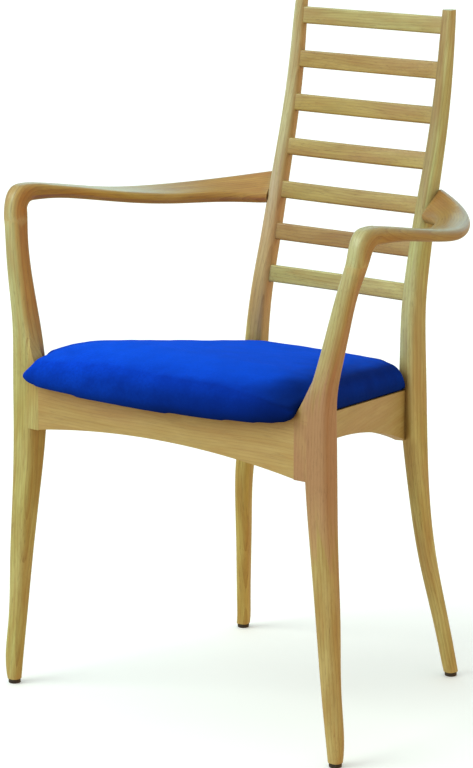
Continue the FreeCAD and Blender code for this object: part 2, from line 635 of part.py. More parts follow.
def slat_body(i):
    p = "dims.slat%s_" % "abcdefg"[i]
    name = "slat_blank_%d" % (i + 1)
    body = doc.addObject("PartDesign::Body", name)
    sk = new_sketch(body, name + "_plan", "XY_Plane")
    hl, rb, th = VAL["slat_half"], VAL["slat_bend"], VAL["slat_thick"]
    # The slat bends away from the sitter: the bend centre lies in front.
    yc = -math.sqrt(rb * rb - hl * hl)
    ro = rb + th
    xo = hl
    yo = yc + math.sqrt(ro * ro - xo * xo)
    a_in = math.atan2(-yc, hl)
    a_out = math.atan2(yo - yc, xo)
    c = V(0, yc, 0)
    sk.addGeometry([
        Part.ArcOfCircle(Part.Circle(c, V(0, 0, 1), rb), a_in, math.pi - a_in),
        Part.ArcOfCircle(Part.Circle(c, V(0, 0, 1), ro), a_out, math.pi - a_out),
        Part.LineSegment(V(hl, 0, 0), V(xo, yo, 0)),
        Part.LineSegment(V(-xo, yo, 0), V(-hl, 0, 0))], False)
    sk.addConstraint([
        Sketcher.Constraint("Coincident", 0, 1, 2, 1),
        Sketcher.Constraint("Coincident", 2, 2, 1, 1),
        Sketcher.Constraint("Coincident", 1, 2, 3, 1),
        Sketcher.Constraint("Coincident", 3, 2, 0, 2),
        Sketcher.Constraint("Coincident", 0, 3, 1, 3),
        Sketcher.Constraint("Vertical", 2), Sketcher.Constraint("Vertical", 3),
        Sketcher.Constraint("PointOnObject", 0, 3, -2)])
    k0 = sk.addConstraint(Sketcher.Constraint("Radius", 0, rb))
    sk.renameConstraint(k0, "bend")
    k1 = sk.addConstraint(Sketcher.Constraint("Radius", 1, ro))
    sk.renameConstraint(k1, "outer")
    k2 = sk.addConstraint(Sketcher.Constraint("DistanceX", -1, 1, 0, 1, hl))
    sk.renameConstraint(k2, "half")
    sk.addConstraint(Sketcher.Constraint("PointOnObject", 0, 1, -1))
    sk.setExpression("Constraints.bend", "dims.slat_bend")
    sk.setExpression("Constraints.outer", "dims.slat_bend + dims.slat_thick")
    sk.setExpression("Constraints.half", "dims.slat_half")
    pad = body.newObject("PartDesign::Pad", name + "_pad")
    pad.Profile = sk
    pad.Midplane = True
    pad.setExpression("Length", "dims.slat_tall")
    body.Tip = pad
    doc.recompute()
    edges = []
    for j, e in enumerate(pad.Shape.Edges, 1):
        if e.Length > 100:
            edges.append("Edge%d" % j)
    fl = body.newObject("PartDesign::Fillet", name + "_round")
    fl.Base = (pad, edges)
    fl.setExpression("Radius", "dims.slat_round")
    body.Tip = fl
    body.setExpression("Placement",
                       "placement(vector(0; %sface; %smid); rotation(vector(1; 0; 0); -%srake))" % (p, p, p))
    return body


slats = [slat_body(i) for i in range(len(SLATS))]
doc.recompute()


# ---------------------------------------------------------------- seat

SEAT_PLACE = "placement(vector(0; dims.seat_y; dims.seat_z); rotation(vector(1; 0; 0); -dims.seat_tilt))"


def seat_outline(sk, out_ex, front_ex, crown=0.0):
    """Half outline mirrored about the middle: front edge, step behind the leg, side, step at the post, back edge."""
    o = crown
    v = VAL
    half = [("dims.board_half_front", front_ex[0], v["board_half_front"], front_ex[1]),
            ("dims.board_half_front", "dims.board_notch", v["board_half_front"], v["board_notch"]),
            ("dims.board_half_wide + %s" % out_ex, "dims.board_notch", v["board_half_wide"] + o, v["board_notch"]),
            ("dims.board_half_back + %s" % out_ex, "dims.board_side_end", v["board_half_back"] + o, v["board_side_end"]),
            ("dims.board_tab", "dims.board_side_end", v["board_tab"], v["board_side_end"]),
            ("dims.board_tab", "dims.board_back", v["board_tab"], v["board_back"])]
    pts = [(h[2], h[3]) for h in half]
    n = len(half)
    left = [(-p[0], p[1]) for p in reversed(pts)]
    allp = pts + left
    m = len(allp)
    sk.addGeometry([Part.LineSegment(V(*allp[i], 0), V(*allp[(i + 1) % m], 0)) for i in range(m)], False)
    sk.addConstraint([Sketcher.Constraint("Coincident", i, 2, (i + 1) % m, 1) for i in range(m)])
    for i, h in enumerate(half):
        for axis, kind, val, ex in (("x", "DistanceX", h[2], h[0]), ("y", "DistanceY", h[3], h[1])):
            k = sk.addConstraint(Sketcher.Constraint(kind, -1, 1, i, 1, val))
            sk.renameConstraint(k, "p%d%s" % (i, axis))
            sk.setExpression("Constraints.p%d%s" % (i, axis), ex)
        sk.addConstraint(Sketcher.Constraint("Symmetric", i, 1, m - 1 - i, 1, -2))


def seat_loft(name, levels):
    """levels: (height expression, height, side growth expression, side growth, front expression, front)."""
    body = doc.addObject("PartDesign::Body", name)
    sks = []
    for i, (zx, z, ox, o, fx, f) in enumerate(levels):
        sk = new_sketch(body, "%s_s%d" % (name, i), "XY_Plane")
        seat_outline(sk, ox, (fx, f), o)
        sk.setExpression("AttachmentOffset.Base.z", zx)
        sks.append(sk)
    lf = body.newObject("PartDesign::AdditiveLoft", name + "_loft")
    lf.Profile = sks[0]
    lf.Sections = sks[1:]
    lf.Ruled = True
    body.Tip = lf
    body.setExpression("Placement", SEAT_PLACE)
    return body


cp, sw = VAL["cover_proud"], VAL["cover_swell"]
ct = VAL["cover_thick"]
cover_outer = seat_loft("cover_outer", [
    ("0", 0.0, "dims.cover_thick", ct, "-dims.cover_proud + 3", -cp + 3),
    ("dims.cover_mid_low", VAL["cover_mid_low"], "dims.cover_swell", sw, "-dims.cover_proud", -cp),
    ("dims.cover_mid_high", VAL["cover_mid_high"], "dims.cover_swell", sw, "-dims.cover_proud", -cp),
    ("dims.cover_high", VAL["cover_high"], "dims.cover_swell - dims.cover_crown_in", sw - VAL["cover_crown_in"],
     "-dims.cover_proud + dims.cover_crown_in", -cp + VAL["cover_crown_in"])])


def seat_block(name, x, y, z, lx, ly, lz):
    b = doc.addObject("Part::Box", name)
    for prop, ex in (("Length", lx), ("Width", ly), ("Height", lz)):
        b.setExpression(prop, ex)
    b.setExpression("Placement", SEAT_PLACE + " * placement(vector(%s; %s; %s); rotation(vector(0; 0; 1); 0))" % (x, y, z))
    return b


lip_outer = seat_block("lip_outer", "-dims.lip_half", "-dims.cover_proud + 3", "dims.lip_low",
                       "2 * dims.lip_half", "dims.cover_proud - 3 - dims.lip_gap", "-dims.lip_low + 20")
lip_inner = seat_block("lip_inner", "-dims.lip_half + dims.cover_thick", "-dims.cover_proud + 3 + dims.cover_thick", "dims.lip_low + dims.cover_thick",
                       "2 * (dims.lip_half - dims.cover_thick)", "dims.cover_proud - 3 - dims.lip_gap - 2 * dims.cover_thick",
                       "-dims.lip_low + 13")

# Board: flat plywood with the outline of the frame, raised by the hem that lies under its edge.
board_body = doc.addObject("PartDesign::Body", "seat_board_blank")
bk = new_sketch(board_body, "seat_board_plan", "XY_Plane")
seat_outline(bk, "0", ("dims.board_front", VAL["board_front"]))
bk.setExpression("AttachmentOffset.Base.z", "dims.hem_thick")
bp = board_body.newObject("PartDesign::Pad", "seat_board_pad")
bp.Profile = bk
bp.setExpression("Length", "dims.board_thick")
board_body.Tip = bp
board_body.setExpression("Placement", SEAT_PLACE)

# Pad: rests on the board, rolls over its front edge into the lip.
foam_main = seat_loft("foam_main", [
    ("dims.hem_thick + dims.board_thick", VAL["hem_thick"] + VAL["board_thick"], "dims.cover_swell * 0.6 - dims.cover_thick", sw * 0.6 - ct,
     "-dims.cover_proud + 1 + dims.cover_thick", -cp + 1 + ct),
    ("dims.cover_mid_low", VAL["cover_mid_low"], "dims.cover_swell - dims.cover_thick", sw - ct,
     "-dims.cover_proud + dims.cover_thick", -cp + ct),
    ("dims.cover_mid_high - 0.6", VAL["cover_mid_high"] - 0.6, "dims.cover_swell - dims.cover_thick", sw - ct,
     "-dims.cover_proud + dims.cover_thick", -cp + ct),
    ("dims.cover_high - dims.cover_thick", VAL["cover_high"] - ct, "dims.cover_swell - dims.cover_crown_in", sw - VAL["cover_crown_in"],
     "-dims.cover_proud + dims.cover_crown_in", -cp + VAL["cover_crown_in"])])
doc.recompute()
# The pad keeps clear of the cover at the steps beside the legs and posts.
trim_half = "dims.board_half_front - dims.cover_thick"
foam_trims = []
for nm, x, y, lx, ly in (
        ("foam_trim_front", "dims.board_half_front - dims.cover_thick", "-40", "60", "40 + dims.board_notch + dims.cover_thick"),
        ("foam_trim_back", "dims.board_tab - dims.cover_thick", "dims.board_side_end - dims.cover_thick", "90", "60")):
    t = seat_block(nm, x, y, "-40", lx, ly, "120")
    foam_trims += [t, mirror(nm + "_left", t)]
foam_back = seat_block("foam_trim_edge", "-200", "dims.board_back - dims.cover_thick", "-40", "400", "60", "120")
foam0 = cut("foam_trimmed", foam_main, foam_trims + [foam_back])
foam1 = cut("foam_fitted", fuse("foam_with_lip", [foam0, lip_inner]), [board_body])

# Cover: skin over the pad with a hem turned under the board.
hem_hole = seat_block("hem_hole", "-dims.board_tab + 8", "dims.board_front + dims.hem_wide - 4", "-2", "2 * (dims.board_tab - 8)",
                      "dims.board_back - dims.board_front - 2 * dims.hem_wide + 24", "2 + dims.hem_thick")
hem_body = doc.addObject("PartDesign::Body", "hem_opening")
hs = new_sketch(hem_body, "hem_opening_plan", "XY_Plane")
_hf, _hb = VAL["board_front"] + VAL["hem_wide"], VAL["board_side_end"] - VAL["hem_wide"] + 14
polygon(hs, [(-190.0, _hf), (190.0, _hf), (92.0, _hb), (-92.0, _hb)],
        [("-dims.board_half_wide + dims.hem_wide", "dims.board_front + dims.hem_wide"),
         ("dims.board_half_wide - dims.hem_wide", "dims.board_front + dims.hem_wide"),
         ("dims.board_half_back - dims.hem_wide + 3", "dims.board_side_end - dims.hem_wide + 14"),
         ("-dims.board_half_back + dims.hem_wide - 3", "dims.board_side_end - dims.hem_wide + 14")])
hp = hem_body.newObject("PartDesign::Pad", "hem_opening_pad")
hp.Profile = hs
hs.setExpression("AttachmentOffset.Base.z", "-1")
hp.setExpression("Length", "1 + dims.hem_thick")
hem_body.Tip = hp
hem_body.setExpression("Placement", SEAT_PLACE)
cover0 = fuse("cover_with_lip", [cover_outer, lip_outer])
cover1 = cut("cover_shell", cover0, [board_body, foam1, hem_body])

# Dust cloth: lies inside the hem, under the board.
cloth_body = doc.addObject("PartDesign::Body", "dust_cloth_blank")
cs = new_sketch(cloth_body, "dust_cloth_plan", "XY_Plane")
polygon(cs, [(-188.0, _hf + 1), (188.0, _hf + 1), (90.0, _hb - 1), (-90.0, _hb - 1)],
        [("-dims.board_half_wide + dims.hem_wide + 2", "dims.board_front + dims.hem_wide + 1"),
         ("dims.board_half_wide - dims.hem_wide - 2", "dims.board_front + dims.hem_wide + 1"),
         ("dims.board_half_back - dims.hem_wide + 1", "dims.board_side_end - dims.hem_wide + 13"),
         ("-dims.board_half_back + dims.hem_wide - 1", "dims.board_side_end - dims.hem_wide + 13")])
cs.setExpression("AttachmentOffset.Base.z", "dims.hem_thick - dims.cloth_thick")
cpad = cloth_body.newObject("PartDesign::Pad", "dust_cloth_pad")
cpad.Profile = cs
cpad.setExpression("Length", "dims.cloth_thick")
cloth_body.Tip = cpad
cloth_body.setExpression("Placement", SEAT_PLACE)

# Staples: a crown under the hem and two legs up into the board.
staples = []
_f = VAL["board_front"]
_spots = [(x, 34.0, 0.0) for x in (-150.0, -90.0, -30.0, 30.0, 90.0, 150.0)]
_spots += [(x, 350.0, 0.0) for x in (-66.0, -22.0, 22.0, 66.0)]
for s in (70.0, 130.0, 190.0, 250.0, 305.0):
    hx = VAL["board_half_wide"] + (VAL["board_half_back"] - VAL["board_half_wide"]) * (s - VAL["board_notch"]) / (VAL["board_side_end"] - VAL["board_notch"])
    _spots += [(hx - 34.0, s, 73.0), (-(hx - 34.0), s, -73.0)]
for i, (x, y, a) in enumerate(_spots):
    parts = []
    for nm, px, lz, z0 in (("crown", -0.5, None, None), ("leg_a", -0.5, 1, None), ("leg_b", 0.5, 1, None)):
        b = doc.addObject("Part::Box", "staple_%d_%s" % (i, nm))
        b.setExpression("Width", "dims.staple_wire")
        if lz is None:
            b.setExpression("Length", "dims.staple_wide")
            b.setExpression("Height", "dims.staple_wire")
            off = "placement(vector(-dims.staple_wide / 2; 0; -dims.staple_wire); rotation(vector(0; 0; 1); 0))"
        else:
            b.setExpression("Length", "dims.staple_wire")
            b.setExpression("Height", "dims.staple_leg")
            ox = "-dims.staple_wide / 2" if px < 0 else "dims.staple_wide / 2 - dims.staple_wire"
            off = "placement(vector(%s; 0; 0); rotation(vector(0; 0; 1); 0))" % ox
        b.setExpression("Placement", SEAT_PLACE + " * placement(vector(%g; %g; 0); rotation(vector(0; 0; 1); %g)) * %s" % (x, y, a, off))
        parts.append(b)
    staples.append(fuse("staple_%d" % i, parts))
staple_set = group("staple_set", staples)


# ---------------------------------------------------------------- corner blocks

def block(name, pts, low, tall):
    body = doc.addObject("PartDesign::Body", name)
    sk = new_sketch(body, name + "_plan", "XY_Plane")
    polygon(sk, pts, [(None, None)] * len(pts))
    sk.setExpression("AttachmentOffset.Base.z", low)
    pad = body.newObject("PartDesign::Pad", name + "_pad")
    pad.Profile = sk
    pad.setExpression("Length", tall)
    body.Tip = pad
    return body


fblock = block("front_block_blank", [(148.0, -212.0), (212.0, -212.0), (224.0, -190.0), (206.0, -132.0), (196.0, -132.0)],
               "dims.fblock_low", "dims.fblock_tall")
bblock = block("rear_block_blank", [(66.0, 148.0), (120.0, 148.0), (126.0, 118.0), (140.0, 72.0), (128.0, 72.0)],
               "dims.bblock_low", "dims.bblock_tall")


def screw(name, pos, direction, dia, head, head_tall, length):
    """Shank with a tapered head; pos is the outside of the head, direction points along the shank."""
    d = V(*direction).normalize()
    rot = FreeCAD.Rotation(V(0, 0, 1), d)
    c = doc.addObject("Part::Cylinder", name + "_shank")
    c.setExpression("Radius", "%s / 2" % dia)
    c.Height = length
    c.Placement = FreeCAD.Placement(V(*pos), rot)
    h = doc.addObject("Part::Cone", name + "_head")
    h.setExpression("Radius1", "%s / 2" % head)
    h.setExpression("Radius2", "%s / 2" % dia)
    h.setExpression("Height", head_tall)
    h.Placement = FreeCAD.Placement(V(*pos), rot)
    return fuse(name, [c, h])


# Bolts: through each corner block into the leg or post behind it.
fbolt_r = screw("front_bolt_right", (187.0, -160.0, 431.0), (52.0, -48.0, 0.0), "dims.bolt_dia", "dims.bolt_head", "dims.bolt_head_tall", 72.0)
bbolt_r = screw("rear_bolt_right", (107.5, 114.0, 384.0), (21.0, 36.0, 0.0), "dims.bolt_dia", "dims.bolt_head", "dims.bolt_head_tall", 48.0)
fbolt_l = mirror("front_bolt_left", fbolt_r)
bbolt_l = mirror("rear_bolt_left", bbolt_r)
bolts = group("bolt_set", [fbolt_r, bbolt_r, fbolt_l, bbolt_l])
# Screws: up through each corner block into the seat board.
fscrew_r = screw("front_seat_screw_right", (194.0, -184.0, 414.0), (0.0, 0.0, 1.0), "dims.screw_dia", "dims.screw_head", "dims.screw_head_tall", 43.0)
bscrew_r = screw("rear_seat_screw_right", (112.0, 132.0, 366.0), (0.0, 0.0, 1.0), "dims.screw_dia", "dims.screw_head", "dims.screw_head_tall", 50.0)
fscrew_l = mirror("front_seat_screw_left", fscrew_r)
bscrew_l = mirror("rear_seat_screw_left", bscrew_r)
seat_screws = group("seat_screw_set", [fscrew_r, bscrew_r, fscrew_l, bscrew_l])

fblock_r = cut("front_block_right", fblock, [front_rail1, side_rail1, leg_body, bolts, seat_screws])
bblock_r = cut("rear_block_right", bblock, [rear_rail1, side_rail1, post_body, bolts, seat_screws])


# ---------------------------------------------------------------- dowels, glides, nails

def dowel(name, pos, direction):
    c = doc.addObject("Part::Cylinder", name)
    c.setExpression("Radius", "dims.dowel_dia / 2")
    c.setExpression("Height", "dims.dowel_long")
    c.Placement = FreeCAD.Placement(V(*pos), FreeCAD.Rotation(V(0, 0, 1), V(*direction)))
    return c


dow = [dowel("arm_dowel_a", (279.6, -202.2, 630.0), (8.1, 7.5, 34.0)),
       dowel("arm_dowel_b", (279.6, -188.6, 630.0), (8.1, 7.5, 34.0)),
       dowel("arm_dowel_c", (121.8, 180.2, 651.0), (0.968, -0.250, 0)),
       dowel("arm_dowel_d", (124.3, 194.9, 666.5), (0.968, -0.250, 0))]
dow_r = group("arm_dowels_right", dow)
dow_l = mirror("arm_dowels_left", dow_r)

FEET = {"front_right": ("dims.flega_cx", "dims.flega_cy"), "rear_right": ("dims.posta_cx", "dims.posta_cy")}


def glide(name, cx, cy):
    c = doc.addObject("Part::Cylinder", name + "_disc")
    c.setExpression("Radius", "dims.glide_dia / 2")
    c.setExpression("Height", "dims.glide_tall")
    c.setExpression("Placement.Base.x", cx)
    c.setExpression("Placement.Base.y", cy)
    n = doc.addObject("Part::Cylinder", name + "_nail")
    n.setExpression("Radius", "dims.nail_dia / 2")
    n.setExpression("Height", "dims.nail_long")
    n.setExpression("Placement.Base.x", cx)
    n.setExpression("Placement.Base.y", cy)
    n.setExpression("Placement.Base.z", "dims.glide_tall / 2")
    doc.recompute()
    f = doc.addObject("Part::Fillet", name + "_rounded")
    f.Base = c
    low = [j for j, e in enumerate(c.Shape.Edges, 1) if e.BoundBox.ZMax < 0.01 and e.BoundBox.XLength > 1]
    f.Edges = [(j, VAL["glide_edge"], VAL["glide_edge"]) for j in low]
    return f, n


gl_f, nail_f = glide("front_glide", *FEET["front_right"])
gl_b, nail_b = glide("rear_glide", *FEET["rear_right"])
nail_set = group("nail_set", [nail_f, nail_b, mirror("front_nail_left", nail_f), mirror("rear_nail_left", nail_b)])
gl_fr = cut("front_glide_bored", gl_f, [nail_f])
gl_br = cut("rear_glide_bored", gl_b, [nail_b])
doc.recompute()


# ---------------------------------------------------------------- fitting the pieces to one another

arm_r = cut("arm_fitted", arm_body, [dow_r])
leg_r = cut("front_leg_fitted", leg_body, [ften_r, sten_f, dow_r, bolts, nail_f])
slat_set = group("slat_set", slats)
post_r = cut("rear_post_fitted", post_body, [sten_b, bten, slat_set, dow_r, bolts, nail_b])
front_rail = cut("front_rail_fitted", front_rail1, [bolts])
side_r = cut("side_rail_done", side_rail1, [bolts])
rear_rail = cut("rear_rail_done", rear_rail1, [bolts])
board = cut("seat_board_fitted", board_body, [staple_set, seat_screws])
cover = cut("seat_cover_fitted", cover1, [staple_set, seat_screws])
doc.recompute()

node(leg_r, "front_leg_right")
node(mirror("front_leg_left_m", leg_r), "front_leg_left")
node(post_r, "rear_post_right")
node(mirror("rear_post_left_m", post_r), "rear_post_left")
node(arm_r, "arm_right")
node(mirror("arm_left_m", arm_r), "arm_left")
node(front_rail, "front_rail")
node(rear_rail, "rear_rail")
node(side_r, "side_rail_right")
node(mirror("side_rail_left_m", side_r), "side_rail_left")
for _i, b in enumerate(slats, 1):
    node(b, "back_slat_%d" % _i)
node(fblock_r, "corner_block_front_right")
node(mirror("corner_block_front_left_m", fblock_r), "corner_block_front_left")
node(bblock_r, "corner_block_rear_right")
node(mirror("corner_block_rear_left_m", bblock_r), "corner_block_rear_left")
node(board, "seat_board")
node(foam1, "seat_foam")
node(cover, "seat_cover")
node(cloth_body, "dust_cloth")
node(gl_fr, "foot_glide_front_right")
node(mirror("foot_glide_front_left_m", gl_fr), "foot_glide_front_left")
node(gl_br, "foot_glide_rear_right")
node(mirror("foot_glide_rear_left_m", gl_br), "foot_glide_rear_left")
node(nail_set, "glide_nails")
node(group("arm_dowel_set", [dow_r, dow_l]), "arm_dowels")
node(bolts, "corner_block_bolts")
node(seat_screws, "seat_screws")
node(staple_set, "cover_staples")
doc.recompute()


# ---------------------------------------------------------------- checks and export

bad = [o.Name for o in doc.Objects if "Invalid" in o.State or "Error" in o.State]
if bad:
    raise RuntimeError("failed objects: " + ", ".join(bad))
one_solid = {"glide_nails": 4, "arm_dowels": 8, "corner_block_bolts": 4, "seat_screws": 4, "cover_staples": len(staples)}
whole = None
for label, obj in NODES:
    sh = obj.Shape
    if sh.isNull() or not sh.isValid() or sh.Volume <= 0:
        raise RuntimeError("bad shape: " + label)
    want = one_solid.get(label, 1)
    if len(sh.Solids) != want:
        raise RuntimeError("%s has %d solids, not %d" % (label, len(sh.Solids), want))
    bb = sh.BoundBox
    whole = FreeCAD.BoundBox(bb) if whole is None else whole
    whole.add(bb)
    print("%-26s vol %9.1f  x %7.1f %7.1f  y %7.1f %7.1f  z %6.1f %6.1f" % (label, sh.Volume, bb.XMin, bb.XMax, bb.YMin, bb.YMax, bb.ZMin, bb.ZMax))
print("overall", whole)
os.makedirs("parts", exist_ok=True)
for label, obj in NODES:
    obj.Shape.exportStep("parts/%s.step" % label)
print("wrote", len(NODES), "parts")
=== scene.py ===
import math

import bmesh
import bpy
import numpy as np
from mathutils import Euler, Matrix, Vector, noise
from mathutils.bvhtree import BVHTree


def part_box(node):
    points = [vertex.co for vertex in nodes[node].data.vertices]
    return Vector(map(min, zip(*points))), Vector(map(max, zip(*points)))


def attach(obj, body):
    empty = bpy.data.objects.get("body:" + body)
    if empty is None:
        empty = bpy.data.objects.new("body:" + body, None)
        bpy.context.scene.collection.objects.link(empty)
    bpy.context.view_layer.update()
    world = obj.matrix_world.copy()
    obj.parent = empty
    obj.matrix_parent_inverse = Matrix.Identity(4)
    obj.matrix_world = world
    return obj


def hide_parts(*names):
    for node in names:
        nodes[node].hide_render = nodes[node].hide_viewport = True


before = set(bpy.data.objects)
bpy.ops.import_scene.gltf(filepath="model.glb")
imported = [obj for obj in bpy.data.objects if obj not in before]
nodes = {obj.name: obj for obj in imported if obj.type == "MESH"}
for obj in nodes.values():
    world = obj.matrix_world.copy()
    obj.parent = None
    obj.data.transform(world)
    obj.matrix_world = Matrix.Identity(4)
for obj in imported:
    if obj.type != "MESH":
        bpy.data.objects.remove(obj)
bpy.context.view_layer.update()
scene = bpy.context.scene
scene.view_settings.view_transform = "Standard"
scene.view_settings.look = "None"

# The seat plane of the CAD: its origin in metres and how far it leans back.
SEAT_Y, SEAT_Z, TILT = -0.2289, 0.4562, math.radians(7.18)
CT, ST = math.cos(TILT), math.sin(TILT)


def seat_to_world(q):
    """Seat-plane millimetres (across, back, up) to metres in the row frame."""
    q = np.asarray(q, float) / 1000.0
    return np.stack([q[:, 0], SEAT_Y + q[:, 1] * CT + q[:, 2] * ST, SEAT_Z - q[:, 1] * ST + q[:, 2] * CT], 1)


def world_to_seat(p):
    p = np.asarray(p, float)
    dy, dz = p[:, 1] - SEAT_Y, p[:, 2] - SEAT_Z
    return np.stack([p[:, 0], dy * CT - dz * ST, dy * ST + dz * CT], 1) * 1000.0


# ---------------------------------------------------------------- camera, light, floor

cam_data = bpy.data.cameras.new("camera")
cam_data.sensor_fit = "AUTO"
cam_data.sensor_width = 36.0
cam_data.lens = 139.88
cam_data.clip_end = 2000.0
cam = bpy.data.objects.new("camera", cam_data)
scene.collection.objects.link(cam)
cam.location = (2.403946, -3.139306, 1.317322)
cam.rotation_euler = (math.radians(77.2655), 0.0, math.radians(38.0787))
scene.camera = cam


def sun_light(name, place, strength, spread, colour):
    d = bpy.data.lights.new(name, "SUN")
    d.energy = strength
    d.angle = math.radians(spread)
    d.color = colour
    o = bpy.data.objects.new(name, d)
    scene.collection.objects.link(o)
    o.location = place
    o.rotation_euler = (-Vector(place)).to_track_quat("-Z", "Y").to_euler()
    return o


# Large soft sources far off, so that the floor is lit evenly.
sun_light("key", (-2.0, -3.0, 2.9), 1.35, 38.0, (0.90, 1.0, 0.90))
sun_light("overhead", (-0.9, -0.8, 4.2), 0.45, 60.0, (0.90, 1.0, 1.0))

world = bpy.data.worlds.new("studio")
scene.world = world
world.use_nodes = True
wt = world.node_tree
wt.nodes.clear()


def link(tree, a, b):
    tree.links.new(a, b)


def ramp(tree, stops, fac=None, kind="LINEAR"):
    n = tree.nodes.new("ShaderNodeValToRGB")
    n.color_ramp.interpolation = kind
    e = n.color_ramp.elements
    while len(e) > 2:
        e.remove(e[-1])
    e[0].position, e[0].color = stops[0][0], (*stops[0][1], 1.0)
    e[1].position, e[1].color = stops[-1][0], (*stops[-1][1], 1.0)
    for pos, col in stops[1:-1]:
        k = e.new(pos)
        k.color = (*col, 1.0)
    if fac is not None:
        link(tree, fac, n.inputs["Fac"])
    return n


# A soft dome: white near the horizon, dimmer overhead, warm and dark below, dimmer on the shaded side.
w_co = wt.nodes.new("ShaderNodeTexCoord")
w_sep = wt.nodes.new("ShaderNodeSeparateXYZ")
link(wt, w_co.outputs["Generated"], w_sep.inputs[0])
w_map = wt.nodes.new("ShaderNodeMapRange")
w_map.inputs["From Min"].default_value = -1.0
w_map.inputs["From Max"].default_value = 1.0
link(wt, w_sep.outputs["Z"], w_map.inputs["Value"])
w_up = ramp(wt, [(0.0, (0.66, 0.43, 0.22)), (0.46, (0.82, 0.60, 0.36)), (0.52, (0.84, 0.86, 0.82)),
                 (0.62, (0.78, 0.89, 0.89)), (0.80, (0.66, 0.72, 0.72)), (1.0, (0.60, 0.65, 0.65))], w_map.outputs["Result"])
w_dot = wt.nodes.new("ShaderNodeVectorMath")
w_dot.operation = "DOT_PRODUCT"
w_dot.inputs[1].default_value = (0.93, 0.25, 0.0)
link(wt, w_co.outputs["Generated"], w_dot.inputs[0])
w_side = wt.nodes.new("ShaderNodeMapRange")
w_side.inputs["From Min"].default_value = 0.1
w_side.inputs["From Max"].default_value = 0.9
link(wt, w_dot.outputs["Value"], w_side.inputs["Value"])
w_tint = ramp(wt, [(0.0, (0.96, 1.0, 1.0)), (1.0, (1.12, 0.86, 0.60))], w_side.outputs["Result"])
w_mix = wt.nodes.new("ShaderNodeMix")
w_mix.data_type = "RGBA"
w_mix.blend_type = "MULTIPLY"
w_mix.inputs["Factor"].default_value = 1.0
link(wt, w_up.outputs["Color"], w_mix.inputs["A"])
link(wt, w_tint.outputs["Color"], w_mix.inputs["B"])
w_bg = wt.nodes.new("ShaderNodeBackground")
w_bg.inputs["Strength"].default_value = 1.0
# A lit backdrop behind the object, which upward faces mirror at a low angle.
w_far = wt.nodes.new("ShaderNodeVectorMath")
w_far.operation = "DOT_PRODUCT"
w_far.inputs[1].default_value = (-0.60, 0.775, 0.20)
link(wt, w_co.outputs["Generated"], w_far.inputs[0])
w_near = wt.nodes.new("ShaderNodeMapRange")
w_near.interpolation_type = "SMOOTHSTEP"
w_near.inputs["From Min"].default_value = 0.78
w_near.inputs["From Max"].default_value = 1.0
link(wt, w_far.outputs["Value"], w_near.inputs["Value"])
w_glow = ramp(wt, [(0.0, (0.0, 0.0, 0.0)), (1.0, (0.12, 0.50, 0.62))], w_near.outputs["Result"])
w_sum = wt.nodes.new("ShaderNodeMix")
w_sum.data_type = "RGBA"
w_sum.blend_type = "ADD"
w_sum.inputs["Factor"].default_value = 1.0
link(wt, w_mix.outputs["Result"], w_sum.inputs["A"])
link(wt, w_glow.outputs["Color"], w_sum.inputs["B"])
link(wt, w_sum.outputs["Result"], w_bg.inputs["Color"])
w_out = wt.nodes.new("ShaderNodeOutputWorld")
link(wt, w_bg.outputs["Background"], w_out.inputs["Surface"])


# ---------------------------------------------------------------- materials

def new_material(name):
    m = bpy.data.materials.new(name)
    m.use_nodes = True
    t = m.node_tree
    t.nodes.clear()
    out = t.nodes.new("ShaderNodeOutputMaterial")
    b = t.nodes.new("ShaderNodeBsdfPrincipled")
    link(t, b.outputs["BSDF"], out.inputs["Surface"])
    return m, t, b


def vec_scale(t, vec, s):
    n = t.nodes.new("ShaderNodeVectorMath")
    n.operation = "MULTIPLY"
    n.inputs[1].default_value = s
    link(t, vec, n.inputs[0])
    return n.outputs["Vector"]


def noise_tex(t, vec, scale, detail=3.0, rough=0.55, distortion=0.0):
    n = t.nodes.new("ShaderNodeTexNoise")
    n.inputs["Scale"].default_value = scale
    n.inputs["Detail"].default_value = detail
    n.inputs["Roughness"].default_value = rough
    n.inputs["Distortion"].default_value = distortion
    link(t, vec, n.inputs["Vector"])
    return n.outputs["Fac"]


def math_node(t, op, a, b=None, clamp=False):
    n = t.nodes.new("ShaderNodeMath")
    n.operation = op
    n.use_clamp = clamp
    for i, v in enumerate((a, b)):
        if v is None:
            continue
        if isinstance(v, (int, float)):
            n.inputs[i].default_value = v
        else:
            link(t, v, n.inputs[i])
    return n.outputs["Value"]


def remap(t, value, a, b, c=0.0, d=1.0):
    n = t.nodes.new("ShaderNodeMapRange")
    for k, v in (("From Min", a), ("From Max", b), ("To Min", c), ("To Max", d)):
        n.inputs[k].default_value = v
    link(t, value, n.inputs["Value"])
    return n.outputs["Result"]


def mix_colour(t, fac, a, b, blend="MIX"):
    n = t.nodes.new("ShaderNodeMix")
    n.data_type = "RGBA"
    n.blend_type = blend
    for sock, v in (("Factor", fac), ("A", a), ("B", b)):
        if isinstance(v, (int, float)):
            n.inputs[sock].default_value = v
        elif isinstance(v, tuple):
            n.inputs[sock].default_value = (*v, 1.0)
        else:
            link(t, v, n.inputs[sock])
    return n.outputs["Result"]


def bump(t, height, distance, strength, normal=None):
    n = t.nodes.new("ShaderNodeBump")
    n.inputs["Distance"].default_value = distance
    n.inputs["Strength"].default_value = strength
    link(t, height, n.inputs["Height"])
    if normal is not None:
        link(t, normal, n.inputs["Normal"])
    return n.outputs["Normal"]


